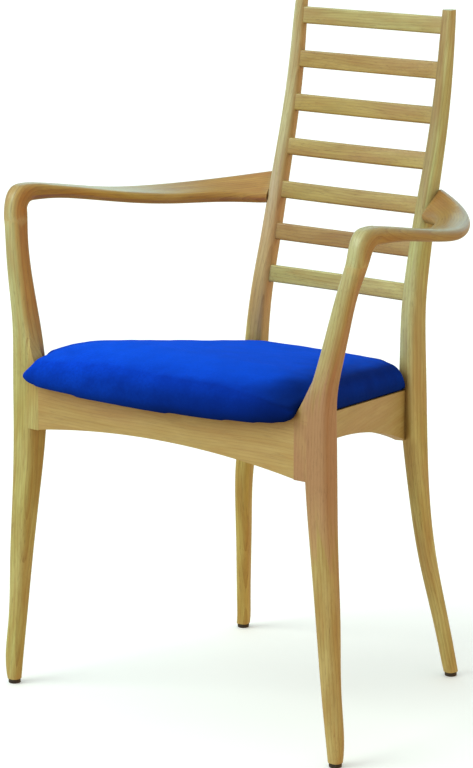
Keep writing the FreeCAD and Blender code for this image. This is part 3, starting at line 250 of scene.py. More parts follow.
def object_coords(t, axis, shift):
    """Object coordinates turned so that the grain runs along Z, moved by a shift of their own."""
    co = t.nodes.new("ShaderNodeTexCoord")
    mp = t.nodes.new("ShaderNodeMapping")
    mp.vector_type = "POINT"
    turn = Vector(axis).normalized().rotation_difference(Vector((0, 0, 1)))
    mp.inputs["Rotation"].default_value = turn.to_euler()
    mp.inputs["Location"].default_value = shift
    link(t, co.outputs["Object"], mp.inputs["Vector"])
    return mp.outputs["Vector"]


def curve_of(t, value, points):
    """A smooth function of one coordinate, through points given in metres."""
    xs, ys = [p[0] for p in points], [p[1] for p in points]
    lo, hi = min(ys) - 1e-4, max(ys) + 1e-4
    n = t.nodes.new("ShaderNodeFloatCurve")
    c = n.mapping.curves[0]
    uv = [((x - xs[0]) / (xs[-1] - xs[0]), (y - lo) / (hi - lo)) for x, y in points]
    c.points[0].location, c.points[1].location = uv[0], uv[-1]
    for q in uv[1:-1]:
        c.points.new(*q)
    n.mapping.update()
    link(t, remap(t, value, xs[0], xs[-1]), n.inputs["Value"])
    return remap(t, n.outputs["Value"], 0.0, 1.0, lo, hi)


def join(t, x, y, z):
    n = t.nodes.new("ShaderNodeCombineXYZ")
    for k, v in enumerate((x, y, z)):
        link(t, v, n.inputs[k])
    return n.outputs["Vector"]


# Middle lines of the curved members (right-hand ones), as (along, across) in metres.
LEG_X = [(0.006, 0.2759), (0.090, 0.2690), (0.180, 0.2617), (0.2745, 0.2530), (0.369, 0.2459), (0.445, 0.2449),
         (0.4827, 0.2475), (0.513, 0.2533), (0.566, 0.2653), (0.619, 0.2768), (0.660, 0.2850)]
LEG_Y = [(0.006, -0.2185), (0.180, -0.2161), (0.369, -0.2119), (0.4827, -0.2110), (0.566, -0.2043), (0.619, -0.1981), (0.660, -0.1907)]
POST_X = [(0.006, 0.1839), (0.1117, 0.1694), (0.2565, 0.1526), (0.407, 0.1366), (0.5281, 0.1299), (0.6465, 0.1268), (0.7676, 0.1264), (0.920, 0.1249)]
POST_Y = [(0.006, 0.1800), (0.1117, 0.1624), (0.2565, 0.1431), (0.3313, 0.1450), (0.4591, 0.1487), (0.5281, 0.1561), (0.6465, 0.1840),
          (0.7061, 0.1999), (0.7676, 0.2151), (0.8272, 0.2263), (0.920, 0.2381)]
ARM_X = [(-0.1618, 0.2852), (-0.0879, 0.2778), (-0.0301, 0.2698), (0.0248, 0.2603), (0.0834, 0.2357), (0.1384, 0.1997), (0.1695, 0.1665), (0.1940, 0.1310), (0.210, 0.105)]
ARM_Z = [(-0.1618, 0.6809), (-0.0879, 0.6723), (-0.0301, 0.6624), (0.0248, 0.6548), (0.0834, 0.6518), (0.1384, 0.6532), (0.210, 0.6600)]
ELBOW_Y, ELBOW_Z = -0.1618, 0.6554


def curved_coords(t, name, shift):
    """Coordinates that run with a curved member: two across it and one along it."""
    co = t.nodes.new("ShaderNodeTexCoord")
    sep = t.nodes.new("ShaderNodeSeparateXYZ")
    link(t, co.outputs["Object"], sep.inputs[0])
    x, y, z = (sep.outputs[a] for a in "XYZ")
    x = math_node(t, "ABSOLUTE", x)
    if name.startswith("arm"):
        u = math_node(t, "SUBTRACT", x, curve_of(t, y, ARM_X))
        back = math_node(t, "SUBTRACT", ELBOW_Y, y)
        up = math_node(t, "SUBTRACT", z, ELBOW_Z)
        r = math_node(t, "SQRT", math_node(t, "ADD", math_node(t, "MULTIPLY", back, back), math_node(t, "MULTIPLY", up, up)))
        turn = math_node(t, "MULTIPLY", math_node(t, "ARCTAN2", back, up), -0.029)
        flat_v, flat_w = math_node(t, "SUBTRACT", z, curve_of(t, y, ARM_Z)), math_node(t, "MULTIPLY", back, -1.0)
        bent = math_node(t, "GREATER_THAN", back, 0.0)

        def pick(a, b):
            n = t.nodes.new("ShaderNodeMix")
            n.data_type = "FLOAT"
            for k, v in (("Factor", bent), ("A", a), ("B", b)):
                link(t, v, n.inputs[k])
            return n.outputs["Result"]

        v, w = pick(flat_v, math_node(t, "SUBTRACT", r, 0.0255)), pick(flat_w, turn)
    else:
        cx, cy = (LEG_X, LEG_Y) if name.startswith("front_leg") else (POST_X, POST_Y)
        u, v, w = math_node(t, "SUBTRACT", x, curve_of(t, z, cx)), math_node(t, "SUBTRACT", y, curve_of(t, z, cy)), z
    n = t.nodes.new("ShaderNodeVectorMath")
    n.operation = "ADD"
    n.inputs[1].default_value = shift
    link(t, join(t, u, v, w), n.inputs[0])
    return n.outputs["Vector"]


def seeded(name, k):
    """A number from 0 to 1 that belongs to a name."""
    h = 0
    for ch in name + "#%d" % k:
        h = (h * 131 + ord(ch)) % 1000003
    return (h % 10007) / 10007.0


WOOD_DARK, WOOD_LIGHT = (0.295, 0.172, 0.040), (0.520, 0.408, 0.140)
WOOD_PINK, WOOD_OLIVE = (0.440, 0.250, 0.115), (0.430, 0.385, 0.135)


# No two pieces are cut from the same plank: a tone for each, mostly plank to plank; back_slat_6 is also darkened as
# painted shade from the arm beside it.
TONE = {"back_slat_1": (1.05, 1.22, 1.32), "back_slat_2": (0.96, 0.90, 0.70), "back_slat_6": (0.87, 0.67, 0.48), "back_slat_7": (1.14, 1.28, 1.22),
        "back_slat": (0.95, 0.88, 0.58), "front_rail": (0.96, 0.92, 0.98), "side_rail": (0.82, 0.94, 0.98), "rear_rail": (0.97, 0.95, 0.95)}
# Painted light and shade along the curved members: tints along each length that make regions paler, or darker and
# oranger, as light and shade fall on them; the arms end at the elbow in the tone of the leg below.
SHADE = {"front_leg_left": [(0.0, (1.07, 1.38, 1.42)), (0.40, (1.06, 1.34, 1.40)), (0.66, (1.06, 1.32, 1.50))],
         "front_leg_right": [(0.0, (1.06, 1.12, 1.22)), (0.26, (1.04, 1.10, 1.20)), (0.38, (0.89, 0.84, 0.90)), (0.47, (0.90, 0.86, 0.94)),
                             (0.56, (1.05, 1.26, 1.50)), (0.66, (1.06, 1.34, 1.72))],
         "rear_post_left": [(0.0, (1.14, 1.30, 1.12)), (0.38, (1.14, 1.30, 1.12)), (0.52, (1.30, 1.30, 1.12)), (0.70, (1.14, 1.24, 1.44)), (0.92, (1.14, 1.30, 1.60))],
         "rear_post_right": [(0.0, (1.15, 1.42, 1.60)), (0.40, (1.14, 1.40, 1.50)), (0.58, (1.14, 1.54, 1.70)), (0.70, (1.02, 1.08, 1.10)), (0.92, (0.98, 0.97, 0.96))],
         "arm_left": [(-0.056, (1.05, 1.28, 1.44)), (-0.040, (1.02, 1.12, 1.05)), (-0.020, (0.98, 0.84, 0.54)), (0.0, (0.92, 0.74, 0.36)), (0.10, (1.13, 1.01, 0.42)),
                      (0.24, (1.00, 0.78, 0.42)), (0.38, (1.04, 0.70, 0.32))],
         "arm_right": [(-0.056, (1.06, 1.34, 1.70)), (-0.040, (1.04, 1.28, 1.58)), (-0.016, (0.96, 1.02, 1.08)), (0.0, (0.90, 0.84, 0.72)), (0.12, (0.86, 0.84, 0.78)), (0.24, (0.80, 0.64, 0.48)), (0.38, (0.82, 0.54, 0.34))]}
# Painted light and shade across a member: one side painted paler as painted light and the other darker and oranger as
# painted shade; a slope over the section, the height it starts at, and the tint along it.
ACROSS_LIGHT_SHADE = {"front_leg_left": ((-1.0, 0.7), (0.40, 0.54), [(-0.014, (1.0, 1.05, 1.26)), (-0.003, (1.0, 0.98, 1.02)), (0.003, (1.10, 0.80, 0.62)), (0.011, (0.98, 0.50, 0.24))]),
         "front_leg_right": ((1.0, 0.7), (0.46, 0.56), [(-0.010, (1.0, 1.04, 1.12)), (0.003, (1.0, 0.98, 0.98)), (0.011, (0.88, 0.66, 0.54)), (0.018, (0.84, 0.60, 0.46))]),
         "arm_left": ((-1.0, -0.7), (0.004, -0.042), [(-0.014, (1.0, 1.05, 1.26)), (-0.003, (1.0, 0.98, 1.02)), (0.003, (1.10, 0.80, 0.62)), (0.011, (0.98, 0.50, 0.24))]),
         "arm_right": ((1.0, -0.7), (-0.004, -0.044), [(-0.010, (1.0, 1.04, 1.12)), (0.003, (1.0, 0.98, 0.98)), (0.011, (0.88, 0.66, 0.54)), (0.018, (0.84, 0.60, 0.46))]),
         "rear_post_left": ((-1.0, 0.7), (0.50, 0.64), [(-0.012, (1.05, 1.20, 1.58)), (-0.002, (1.0, 1.04, 1.18)), (0.004, (1.0, 0.86, 0.80)), (0.012, (0.98, 0.80, 0.72))]),
         "rear_post_right": ((1.0, 0.7), (0.60, 0.70), [(-0.012, (0.82, 0.74, 0.76)), (-0.005, (0.92, 0.90, 0.92)), (0.0, (1.22, 1.58, 2.0)), (0.006, (1.20, 1.54, 1.94)), (0.012, (1.05, 1.32, 1.74))])}
# A darker, pinker band round seat height on some members: how strongly it is mixed in along each.
BLUSH = {"front_leg_right": [(0.27, 0.0), (0.34, 0.75), (0.45, 0.85), (0.50, 0.25), (0.60, 0.0)],
         "rear_post_left": [(0.44, 0.0), (0.52, 0.45), (0.60, 0.45), (0.68, 0.0)],
         "rear_post_right": [(0.36, 0.0), (0.46, 0.30), (0.58, 0.0)]}


def wood(name, axis, pink=0.45, olive=0.40, dark=WOOD_DARK, light=WOOD_LIGHT):
    m, t, b = new_material("wood_" + name)
    s = [seeded(name, k) for k in range(6)]
    shift = (0.055 + 0.05 * s[0], 0.03 + 0.05 * s[1], 3.0 * s[2])
    p = object_coords(t, axis, shift) if axis else curved_coords(t, name, shift)
    bend = t.nodes.new("ShaderNodeVectorMath")
    bend.operation = "ADD"
    link(t, p, bend.inputs[0])
    sway = t.nodes.new("ShaderNodeTexNoise")
    sway.inputs["Scale"].default_value = 7.0
    sway.inputs["Detail"].default_value = 1.0
    link(t, vec_scale(t, p, (1.0, 1.0, 0.55)), sway.inputs["Vector"])
    off = t.nodes.new("ShaderNodeVectorMath")
    off.operation = "SCALE"
    off.inputs["Scale"].default_value = 0.022
    link(t, sway.outputs["Color"], off.inputs[0])
    link(t, off.outputs["Vector"], bend.inputs[1])
    g = bend.outputs["Vector"]
    # Growth rings about a heart that lies outside the piece, read as lines along the grain.
    wave = t.nodes.new("ShaderNodeTexWave")
    wave.wave_type = "RINGS"
    wave.rings_direction = "Z"
    wave.wave_profile = "SAW"
    wave.inputs["Scale"].default_value = 66.0 + 18.0 * s[3]
    wave.inputs["Distortion"].default_value = 2.6
    wave.inputs["Detail"].default_value = 2.0
    wave.inputs["Detail Scale"].default_value = 0.6
    wave.inputs["Detail Roughness"].default_value = 0.55
    link(t, vec_scale(t, g, (1.0, 1.0, 0.05)), wave.inputs["Vector"])
    rings = wave.outputs["Fac"]
    fibre = noise_tex(t, vec_scale(t, g, (1.0, 1.0, 0.020)), 460.0, 4.0, 0.62)
    streak = noise_tex(t, vec_scale(t, g, (1.0, 1.0, 0.045)), 105.0, 3.0, 0.55, 0.4)
    pores = remap(t, noise_tex(t, vec_scale(t, g, (1.0, 1.0, 0.030)), 1500.0, 2.0, 0.5), 0.58, 0.70)
    cloud = noise_tex(t, vec_scale(t, p, (1.0, 1.0, 0.30)), 17.0, 2.0, 0.5)
    late = remap(t, rings, 0.72, 1.0)
    f = math_node(t, "ADD", math_node(t, "MULTIPLY", math_node(t, "SUBTRACT", 1.0, rings), 0.22),
                  math_node(t, "MULTIPLY", remap(t, fibre, 0.25, 0.75), 0.36))
    f = math_node(t, "ADD", f, math_node(t, "MULTIPLY", remap(t, streak, 0.28, 0.72), 0.44), True)
    base = mix_colour(t, f, dark, light)
    base = mix_colour(t, remap(t, cloud, 0.50, 0.70, 0.0, pink), base, WOOD_PINK)
    base = mix_colour(t, remap(t, cloud, 0.50, 0.30, 0.0, olive), base, WOOD_OLIVE)
    # Figure in the wood: short darker and paler patches that lie along the grain.
    figure = noise_tex(t, vec_scale(t, g, (1.0, 1.0, 0.15)), 78.0, 2.0, 0.5, 0.3)
    base = mix_colour(t, remap(t, figure, 0.51, 0.70, 0.0, 0.46), base, (0.375, 0.190, 0.046))
    base = mix_colour(t, remap(t, figure, 0.49, 0.32, 0.0, 0.40), base, (0.560, 0.470, 0.190))
    if name in BLUSH:
        z_co = t.nodes.new("ShaderNodeSeparateXYZ")
        link(t, p, z_co.inputs[0])
        along = math_node(t, "ADD", math_node(t, "SUBTRACT", z_co.outputs["Z"], shift[2]), remap(t, streak, 0.3, 0.7, -0.05, 0.05))
        base = mix_colour(t, curve_of(t, along, BLUSH[name]), base, (0.455, 0.268, 0.135))
    base = mix_colour(t, math_node(t, "MULTIPLY", late, 0.40), base, (0.270, 0.138, 0.034))
    # Each piece's tone; for back_slat_6 it includes painted shade.
    tone = [v for k, v in TONE.items() if name.startswith(k)]
    if tone:
        base = mix_colour(t, 1.0, base, tone[0], "MULTIPLY")
    # Painted light and shade along the member, from SHADE.
    if name in SHADE:
        stops = SHADE[name]
        a_co = t.nodes.new("ShaderNodeSeparateXYZ")
        link(t, p, a_co.inputs[0])
        way = math_node(t, "ADD", math_node(t, "SUBTRACT", a_co.outputs["Z"], shift[2]), remap(t, streak, 0.3, 0.7, -0.012, 0.012))
        lo, hi = stops[0][0], stops[-1][0]
        tint = ramp(t, [((w - lo) / (hi - lo), tuple(0.5 * k for k in c)) for w, c in stops], remap(t, way, lo, hi), "EASE")
        base = vec_scale(t, mix_colour(t, 1.0, base, tint.outputs["Color"], "MULTIPLY"), (2.0, 2.0, 2.0))
    # Painted light and shade across the member: paler on one side, darker and oranger on the other.
    if name in ACROSS_LIGHT_SHADE:
        (kx, ky), (z0, z1), stops = ACROSS_LIGHT_SHADE[name]
        h_co = t.nodes.new("ShaderNodeSeparateXYZ")
        link(t, p, h_co.inputs[0])
        u = math_node(t, "MULTIPLY", math_node(t, "SUBTRACT", h_co.outputs["X"], shift[0]), kx)
        v = math_node(t, "MULTIPLY", math_node(t, "SUBTRACT", h_co.outputs["Y"], shift[1]), ky)
        slope = math_node(t, "ADD", math_node(t, "ADD", u, v), remap(t, streak, 0.3, 0.7, -0.002, 0.002))
        lo, hi = stops[0][0], stops[-1][0]
        tint = ramp(t, [((w - lo) / (hi - lo), tuple(0.5 * k for k in c)) for w, c in stops], remap(t, slope, lo, hi), "EASE")
        across_shaded = vec_scale(t, mix_colour(t, 1.0, base, tint.outputs["Color"], "MULTIPLY"), (2.0, 2.0, 2.0))
        base = mix_colour(t, remap(t, math_node(t, "SUBTRACT", h_co.outputs["Z"], shift[2]), z0, z1), base, across_shaded)
    base = mix_colour(t, math_node(t, "MULTIPLY", pores, 0.42), base, (0.130, 0.065, 0.018))
    # Rounded edges are painted paler, partly as rubbed wear and partly as a painted highlight, and inner corners are
    # painted darker as painted shade.
    geo = t.nodes.new("ShaderNodeNewGeometry")
    point = geo.outputs["Pointiness"]
    base = mix_colour(t, remap(t, point, 0.515, 0.58, 0.0, 0.32), base, (0.56, 0.43, 0.17))
    base = mix_colour(t, remap(t, point, 0.485, 0.43, 0.0, 0.60), base, (0.15, 0.07, 0.018))
    # Painted shade: darker and warmer where neighbouring parts and hollows occlude the surface.
    ao = t.nodes.new("ShaderNodeAmbientOcclusion")
    ao.samples = 4
    ao.inputs["Distance"].default_value = 0.022
    base = mix_colour(t, remap(t, ao.outputs["AO"], 0.80, 0.25, 0.0, 0.62), base, (0.20, 0.085, 0.018))
    link(t, base, b.inputs["Base Color"])
    rough = remap(t, fibre, 0.2, 0.8, 0.36, 0.50)
    link(t, math_node(t, "ADD", rough, math_node(t, "MULTIPLY", pores, 0.12)), b.inputs["Roughness"])
    height = math_node(t, "SUBTRACT", math_node(t, "ADD", math_node(t, "MULTIPLY", fibre, 0.5), math_node(t, "MULTIPLY", rings, 0.15)), pores)
    link(t, bump(t, height, 0.00024, 0.5), b.inputs["Normal"])
    b.inputs["IOR"].default_value = 1.5
    b.inputs["Coat Weight"].default_value = 0.35
    b.inputs["Coat Roughness"].default_value = 0.24
    return m


def plywood(name):
    m, t, b = new_material(name)
    p = object_coords(t, (0.0, ST, CT), (0.0, 0.0, 0.0))
    layers = t.nodes.new("ShaderNodeTexWave")
    layers.wave_type = "BANDS"
    layers.bands_direction = "Z"
    layers.inputs["Scale"].default_value = 122.0
    layers.inputs["Distortion"].default_value = 0.5
    layers.inputs["Detail Scale"].default_value = 0.6
    link(t, p, layers.inputs["Vector"])
    fibre = noise_tex(t, vec_scale(t, p, (0.05, 1.0, 1.0)), 300.0, 4.0, 0.6)
    f = math_node(t, "ADD", math_node(t, "MULTIPLY", layers.outputs["Fac"], 0.45), math_node(t, "MULTIPLY", fibre, 0.55))
    link(t, mix_colour(t, f, (0.30, 0.20, 0.10), (0.62, 0.47, 0.27)), b.inputs["Base Color"])
    link(t, remap(t, fibre, 0.2, 0.8, 0.55, 0.75), b.inputs["Roughness"])
    link(t, bump(t, fibre, 0.0004, 0.5), b.inputs["Normal"])
    return m


def steel(name):
    m, t, b = new_material(name)
    p = object_coords(t, (0, 0, 1), (0.0, 0.0, 0.0))
    grit = noise_tex(t, p, 900.0, 4.0, 0.6)
    cloud = noise_tex(t, p, 120.0, 2.0, 0.5)
    link(t, mix_colour(t, cloud, (0.50, 0.50, 0.50), (0.68, 0.67, 0.64)), b.inputs["Base Color"])
    b.inputs["Metallic"].default_value = 1.0
    link(t, remap(t, grit, 0.2, 0.8, 0.28, 0.46), b.inputs["Roughness"])
    link(t, bump(t, grit, 0.00008, 0.4), b.inputs["Normal"])
    return m


def glide(name):
    m, t, b = new_material(name)
    p = object_coords(t, (0, 0, 1), (0.0, 0.0, 0.0))
    grain = noise_tex(t, p, 1300.0, 3.0, 0.6)
    scuff = remap(t, noise_tex(t, vec_scale(t, p, (1.0, 0.25, 1.0)), 420.0, 4.0, 0.65), 0.56, 0.72)
    base = mix_colour(t, grain, (0.010, 0.009, 0.009), (0.024, 0.021, 0.020))
    link(t, mix_colour(t, math_node(t, "MULTIPLY", scuff, 0.35), base, (0.09, 0.085, 0.08)), b.inputs["Base Color"])
    link(t, remap(t, scuff, 0.0, 1.0, 0.42, 0.62), b.inputs["Roughness"])
    link(t, bump(t, grain, 0.00012, 0.5), b.inputs["Normal"])
    return m


def dust_fabric(name):
    m, t, b = new_material(name)
    p = object_coords(t, (0.0, ST, CT), (0.0, 0.0, 0.0))
    fuzz = noise_tex(t, p, 1100.0, 5.0, 0.7)
    cell = t.nodes.new("ShaderNodeTexVoronoi")
    cell.inputs["Scale"].default_value = 520.0
    link(t, p, cell.inputs["Vector"])
    dots = remap(t, cell.outputs["Distance"], 0.0, 0.55)
    link(t, mix_colour(t, fuzz, (0.012, 0.012, 0.013), (0.040, 0.040, 0.042)), b.inputs["Base Color"])
    link(t, remap(t, fuzz, 0.2, 0.8, 0.78, 0.95), b.inputs["Roughness"])
    link(t, bump(t, math_node(t, "ADD", math_node(t, "MULTIPLY", dots, 0.7), fuzz), 0.0003, 0.6), b.inputs["Normal"])
    b.inputs["Sheen Weight"].default_value = 0.15
    return m


def blue_cloth(name):
    m, t, b = new_material(name)
    p = object_coords(t, (0.0, ST, CT), (0.0, 0.0, 0.0))
    geo = t.nodes.new("ShaderNodeNewGeometry")
    sep = t.nodes.new("ShaderNodeSeparateXYZ")
    link(t, p, sep.inputs[0])
    ns = t.nodes.new("ShaderNodeSeparateXYZ")
    link(t, geo.outputs["Normal"], ns.inputs[0])
    pitch = 2.0 * math.pi / 0.0017
    wob = math_node(t, "MULTIPLY", noise_tex(t, p, 260.0, 2.0), 2.2)
    sx, sy, sz = (math_node(t, "SINE", math_node(t, "ADD", math_node(t, "MULTIPLY", sep.outputs[a], pitch), wob)) for a in "XYZ")
    w = [math_node(t, "MULTIPLY", ns.outputs[a], ns.outputs[a]) for a in "XYZ"]
    weave = math_node(t, "ADD", math_node(t, "MULTIPLY", w[2], math_node(t, "MULTIPLY", sx, sy)),
                      math_node(t, "ADD", math_node(t, "MULTIPLY", w[1], math_node(t, "MULTIPLY", sx, sz)),
                                math_node(t, "MULTIPLY", w[0], math_node(t, "MULTIPLY", sy, sz))))
    weave = remap(t, weave, -1.0, 1.0)
    nap = noise_tex(t, p, 1500.0, 4.0, 0.7)
    fluff = noise_tex(t, p, 300.0, 3.0, 0.6)
    cloud = noise_tex(t, p, 26.0, 3.0, 0.6)
    f = math_node(t, "ADD", math_node(t, "MULTIPLY", weave, 0.30), math_node(t, "MULTIPLY", remap(t, nap, 0.25, 0.75), 0.35))
    f = math_node(t, "ADD", f, math_node(t, "MULTIPLY", remap(t, fluff, 0.3, 0.7), 0.35), True)
    base = mix_colour(t, f, (0.0020, 0.033, 0.42), (0.0044, 0.086, 0.94))
    base = mix_colour(t, remap(t, cloud, 0.40, 0.66, 0.0, 0.55), base, (0.0024, 0.033, 0.42))
    # Painted highlight: the top is made brighter and more cyan where it faces up.
    base = mix_colour(t, remap(t, ns.outputs["Z"], 0.90, 1.0, 0.0, 0.50), base, (0.0056, 0.118, 1.0))
    # Painted shade: the sides are darker than the top, less so on faces turned to +X and towards the left end.
    lee = math_node(t, "MULTIPLY", math_node(t, "MAXIMUM", ns.outputs["X"], 0.0), 0.42)
    side_shade = math_node(t, "SUBTRACT", remap(t, ns.outputs["Z"], 0.92, -0.20, 0.0, 0.78), lee, True)
    side_shade = math_node(t, "MULTIPLY", side_shade, remap(t, sep.outputs["X"], -0.20, 0.02, 0.46, 1.0))
    base = mix_colour(t, side_shade, base, (0.0018, 0.0100, 0.090))
    # Painted shade: darker towards the right (+X), less on the upward top.
    right_shade = math_node(t, "ADD", sep.outputs["X"], remap(t, noise_tex(t, p, 9.0, 2.0), 0.3, 0.7, -0.05, 0.05))
    right_shade = math_node(t, "MULTIPLY", remap(t, right_shade, -0.10, 0.18, 0.0, 0.74), remap(t, ns.outputs["Z"], 0.90, 0.985, 1.0, 0.40))
    base = mix_colour(t, right_shade, base, (0.0019, 0.0140, 0.165))
    # Painted shade on sloping faces turned to +X.
    right_face_shade = math_node(t, "MULTIPLY", remap(t, ns.outputs["X"], 0.10, 0.42, 0.0, 0.50), remap(t, ns.outputs["Z"], 0.35, 0.75))
    base = mix_colour(t, right_face_shade, base, (0.0016, 0.0105, 0.105))
    # Painted shadow of the right front leg on the pad's front corner beside it.
    leg_shadow = t.nodes.new("ShaderNodeVectorMath")
    leg_shadow.operation = "DISTANCE"
    leg_shadow.inputs[1].default_value = (0.205, -0.225, 0.468)
    co = t.nodes.new("ShaderNodeTexCoord")
    link(t, co.outputs["Object"], leg_shadow.inputs[0])
    base = mix_colour(t, remap(t, leg_shadow.outputs["Value"], 0.078, 0.014, 0.0, 0.66), base, (0.0012, 0.0045, 0.026))
    # Painted shade along the right border of the top, standing in for the shade where the top rolls off there.
    at = t.nodes.new("ShaderNodeSeparateXYZ")
    link(t, co.outputs["Object"], at.inputs[0])
    side = math_node(t, "ADD", at.outputs["X"], math_node(t, "MULTIPLY", at.outputs["Y"], 0.316))
    side = math_node(t, "ADD", side, remap(t, noise_tex(t, p, 22.0, 2.0), 0.3, 0.7, -0.008, 0.008))
    border_shade = math_node(t, "MULTIPLY", remap(t, side, 0.096, 0.138, 0.0, 0.62), remap(t, at.outputs["Y"], -0.05, 0.05, 1.0, 0.50))
    border_shade = math_node(t, "MULTIPLY", border_shade, remap(t, ns.outputs["Z"], 0.55, 0.93))
    base = mix_colour(t, border_shade, base, (0.0014, 0.0080, 0.070))
    # Painted shade in crevices and next to neighbouring parts, stronger towards the right.
    ao = t.nodes.new("ShaderNodeAmbientOcclusion")
    ao.samples = 4
    ao.inputs["Distance"].default_value = 0.070
    crevice_shade = math_node(t, "MULTIPLY", remap(t, ao.outputs["AO"], 0.74, 0.15, 0.0, 0.82), remap(t, sep.outputs["X"], -0.20, 0.06, 0.62, 1.0))
    base = mix_colour(t, crevice_shade, base, (0.0007, 0.0030, 0.018))
    link(t, base, b.inputs["Base Color"])
    link(t, remap(t, nap, 0.2, 0.8, 0.78, 0.96), b.inputs["Roughness"])
    height = math_node(t, "ADD", math_node(t, "MULTIPLY", weave, 0.8), math_node(t, "MULTIPLY", nap, 0.5))
    link(t, bump(t, height, 0.0005, 0.6, bump(t, fluff, 0.0012, 0.25)), b.inputs["Normal"])
    b.inputs["IOR"].default_value = 1.30
    b.inputs["Specular IOR Level"].default_value = 0.03
    b.inputs["Sheen Weight"].default_value = 0.08
    b.inputs["Sheen Roughness"].default_value = 0.5
    b.inputs["Sheen Tint"].default_value = (0.02, 0.16, 1.0, 1.0)
    return m


def floor_material():
    m, t, b = new_material("floor_paint")
    p = object_coords(t, (0, 0, 1), (0.0, 0.0, 0.0))
    spread = noise_tex(t, p, 1.2, 3.0, 0.5)
    speck = noise_tex(t, p, 60.0, 3.0, 0.6)
    f = math_node(t, "ADD", math_node(t, "MULTIPLY", spread, 0.6), math_node(t, "MULTIPLY", speck, 0.4))
    link(t, mix_colour(t, f, (0.93, 0.93, 0.925), (0.97, 0.97, 0.965)), b.inputs["Base Color"])
    b.inputs["Roughness"].default_value = 0.9
    b.inputs["IOR"].default_value = 1.05
    b.inputs["Emission Color"].default_value = (1.0, 0.97, 0.97, 1.0)
    b.inputs["Emission Strength"].default_value = 0.16
    return m


# ---------------------------------------------------------------- CAD nodes: shading and finish

def smooth_group(degrees):
    g = bpy.data.node_groups.new("soft_faces", "GeometryNodeTree")
    g.interface.new_socket("Geometry", in_out="INPUT", socket_type="NodeSocketGeometry")
    g.interface.new_socket("Geometry", in_out="OUTPUT", socket_type="NodeSocketGeometry")
    gi, go = g.nodes.new("NodeGroupInput"), g.nodes.new("NodeGroupOutput")
    rem = g.nodes.new("GeometryNodeRemoveAttribute")
    rem.inputs["Name"].default_value = "custom_normal"
    mrg = g.nodes.new("GeometryNodeMergeByDistance")
    mrg.inputs["Distance"].default_value = 2e-6
    fs = g.nodes.new("GeometryNodeSetShadeSmooth")
    fs.domain = "FACE"
    fs.inputs["Shade Smooth"].default_value = True
    es = g.nodes.new("GeometryNodeSetShadeSmooth")
    es.domain = "EDGE"
    es.inputs["Shade Smooth"].default_value = False
    ang = g.nodes.new("GeometryNodeInputMeshEdgeAngle")
    cmp = g.nodes.new("FunctionNodeCompare")
    cmp.data_type = "FLOAT"
    cmp.operation = "GREATER_THAN"
    cmp.inputs["B"].default_value = math.radians(degrees)
    g.links.new(gi.outputs["Geometry"], rem.inputs["Geometry"])
    g.links.new(rem.outputs["Geometry"], mrg.inputs["Geometry"])
    g.links.new(mrg.outputs["Geometry"], fs.inputs["Geometry"])
    g.links.new(fs.outputs["Geometry"], es.inputs["Geometry"])
    g.links.new(ang.outputs["Unsigned Angle"], cmp.inputs["A"])
    g.links.new(cmp.outputs["Result"], es.inputs["Selection"])
    g.links.new(es.outputs["Geometry"], go.inputs["Geometry"])
    return g


SOFT_FACES = smooth_group(32.0)
HEAD = math.radians(17.34)
GRAIN = {"front_rail": (1, 0, 0), "rear_rail": (1, 0, 0),
         "side_rail_right": (-math.sin(HEAD), math.cos(HEAD), 0), "side_rail_left": (math.sin(HEAD), math.cos(HEAD), 0),
         "arm_right": None, "arm_left": None, "front_leg_right": None, "front_leg_left": None, "rear_post_right": None, "rear_post_left": None}
block_dark, block_light = (0.46, 0.30, 0.15), (0.66, 0.49, 0.29)
STEEL, GLIDE, PLY = steel("zinc_steel"), glide("glide_plastic"), plywood("birch_ply")
for name, o in nodes.items():
    if name.startswith(("front_leg", "rear_post")):
        mat = wood(name, GRAIN[name])
    elif name.startswith(("arm_right", "arm_left", "front_rail", "rear_rail", "side_rail", "back_slat")):
        mat = wood(name, GRAIN.get(name, (1, 0, 0)))
    elif name.startswith("corner_block_") and not name.endswith("bolts"):
        mat = wood(name, (1, 0.3 if "left" in name else -0.3, 0), 0.1, 0.1, block_dark, block_light)
    elif name == "arm_dowels":
        mat = wood(name, (0.2, 1, 0), 0.1, 0.1, block_dark, block_light)
    elif name.startswith("foot_glide"):
        mat = GLIDE
    elif name == "seat_board":
        mat = PLY
    else:
        mat = STEEL
    o.data.materials.clear()
    o.data.materials.append(mat)
    md = o.modifiers.new("soft_faces", "NODES")
    md.node_group = SOFT_FACES


# ---------------------------------------------------------------- seat pad

def mesh_object(name, co, faces):
    me = bpy.data.meshes.new(name)
    me.from_pydata([tuple(v) for v in co], [], faces)
    me.update()
    o = bpy.data.objects.new(name, me)
    scene.collection.objects.link(o)
    return o


def get_co(me):
    co = np.empty(len(me.vertices) * 3, np.float32)
    me.vertices.foreach_get("co", co)
    return co.reshape(-1, 3).astype(float)


def set_co(me, co):
    me.vertices.foreach_set("co", np.asarray(co, np.float32).ravel())
    me.update()


def evaluated_mesh(o):
    """The object's mesh with its modifiers applied, as new data, and the modifiers removed."""
    bpy.context.view_layer.update()
    dg = bpy.context.evaluated_depsgraph_get()
    me = bpy.data.meshes.new_from_object(o.evaluated_get(dg), depsgraph=dg)
    old = o.data
    o.modifiers.clear()
    o.data = me
    me.name = old.name
    bpy.data.meshes.remove(old)
    return me


def relax(me, co, rounds, keep=0.5):
    """Laplacian smoothing along the mesh's edges."""
    e = np.empty(len(me.edges) * 2, np.int32)
    me.edges.foreach_get("vertices", e)
    e = e.reshape(-1, 2)
    n = np.zeros(len(co))
    np.add.at(n, e[:, 0], 1)
    np.add.at(n, e[:, 1], 1)
    for _ in range(rounds):
        s = np.zeros_like(co)
        np.add.at(s, e[:, 0], co[e[:, 1]])
        np.add.at(s, e[:, 1], co[e[:, 0]])
        co = keep * co + (1 - keep) * s / n[:, None]
    return co


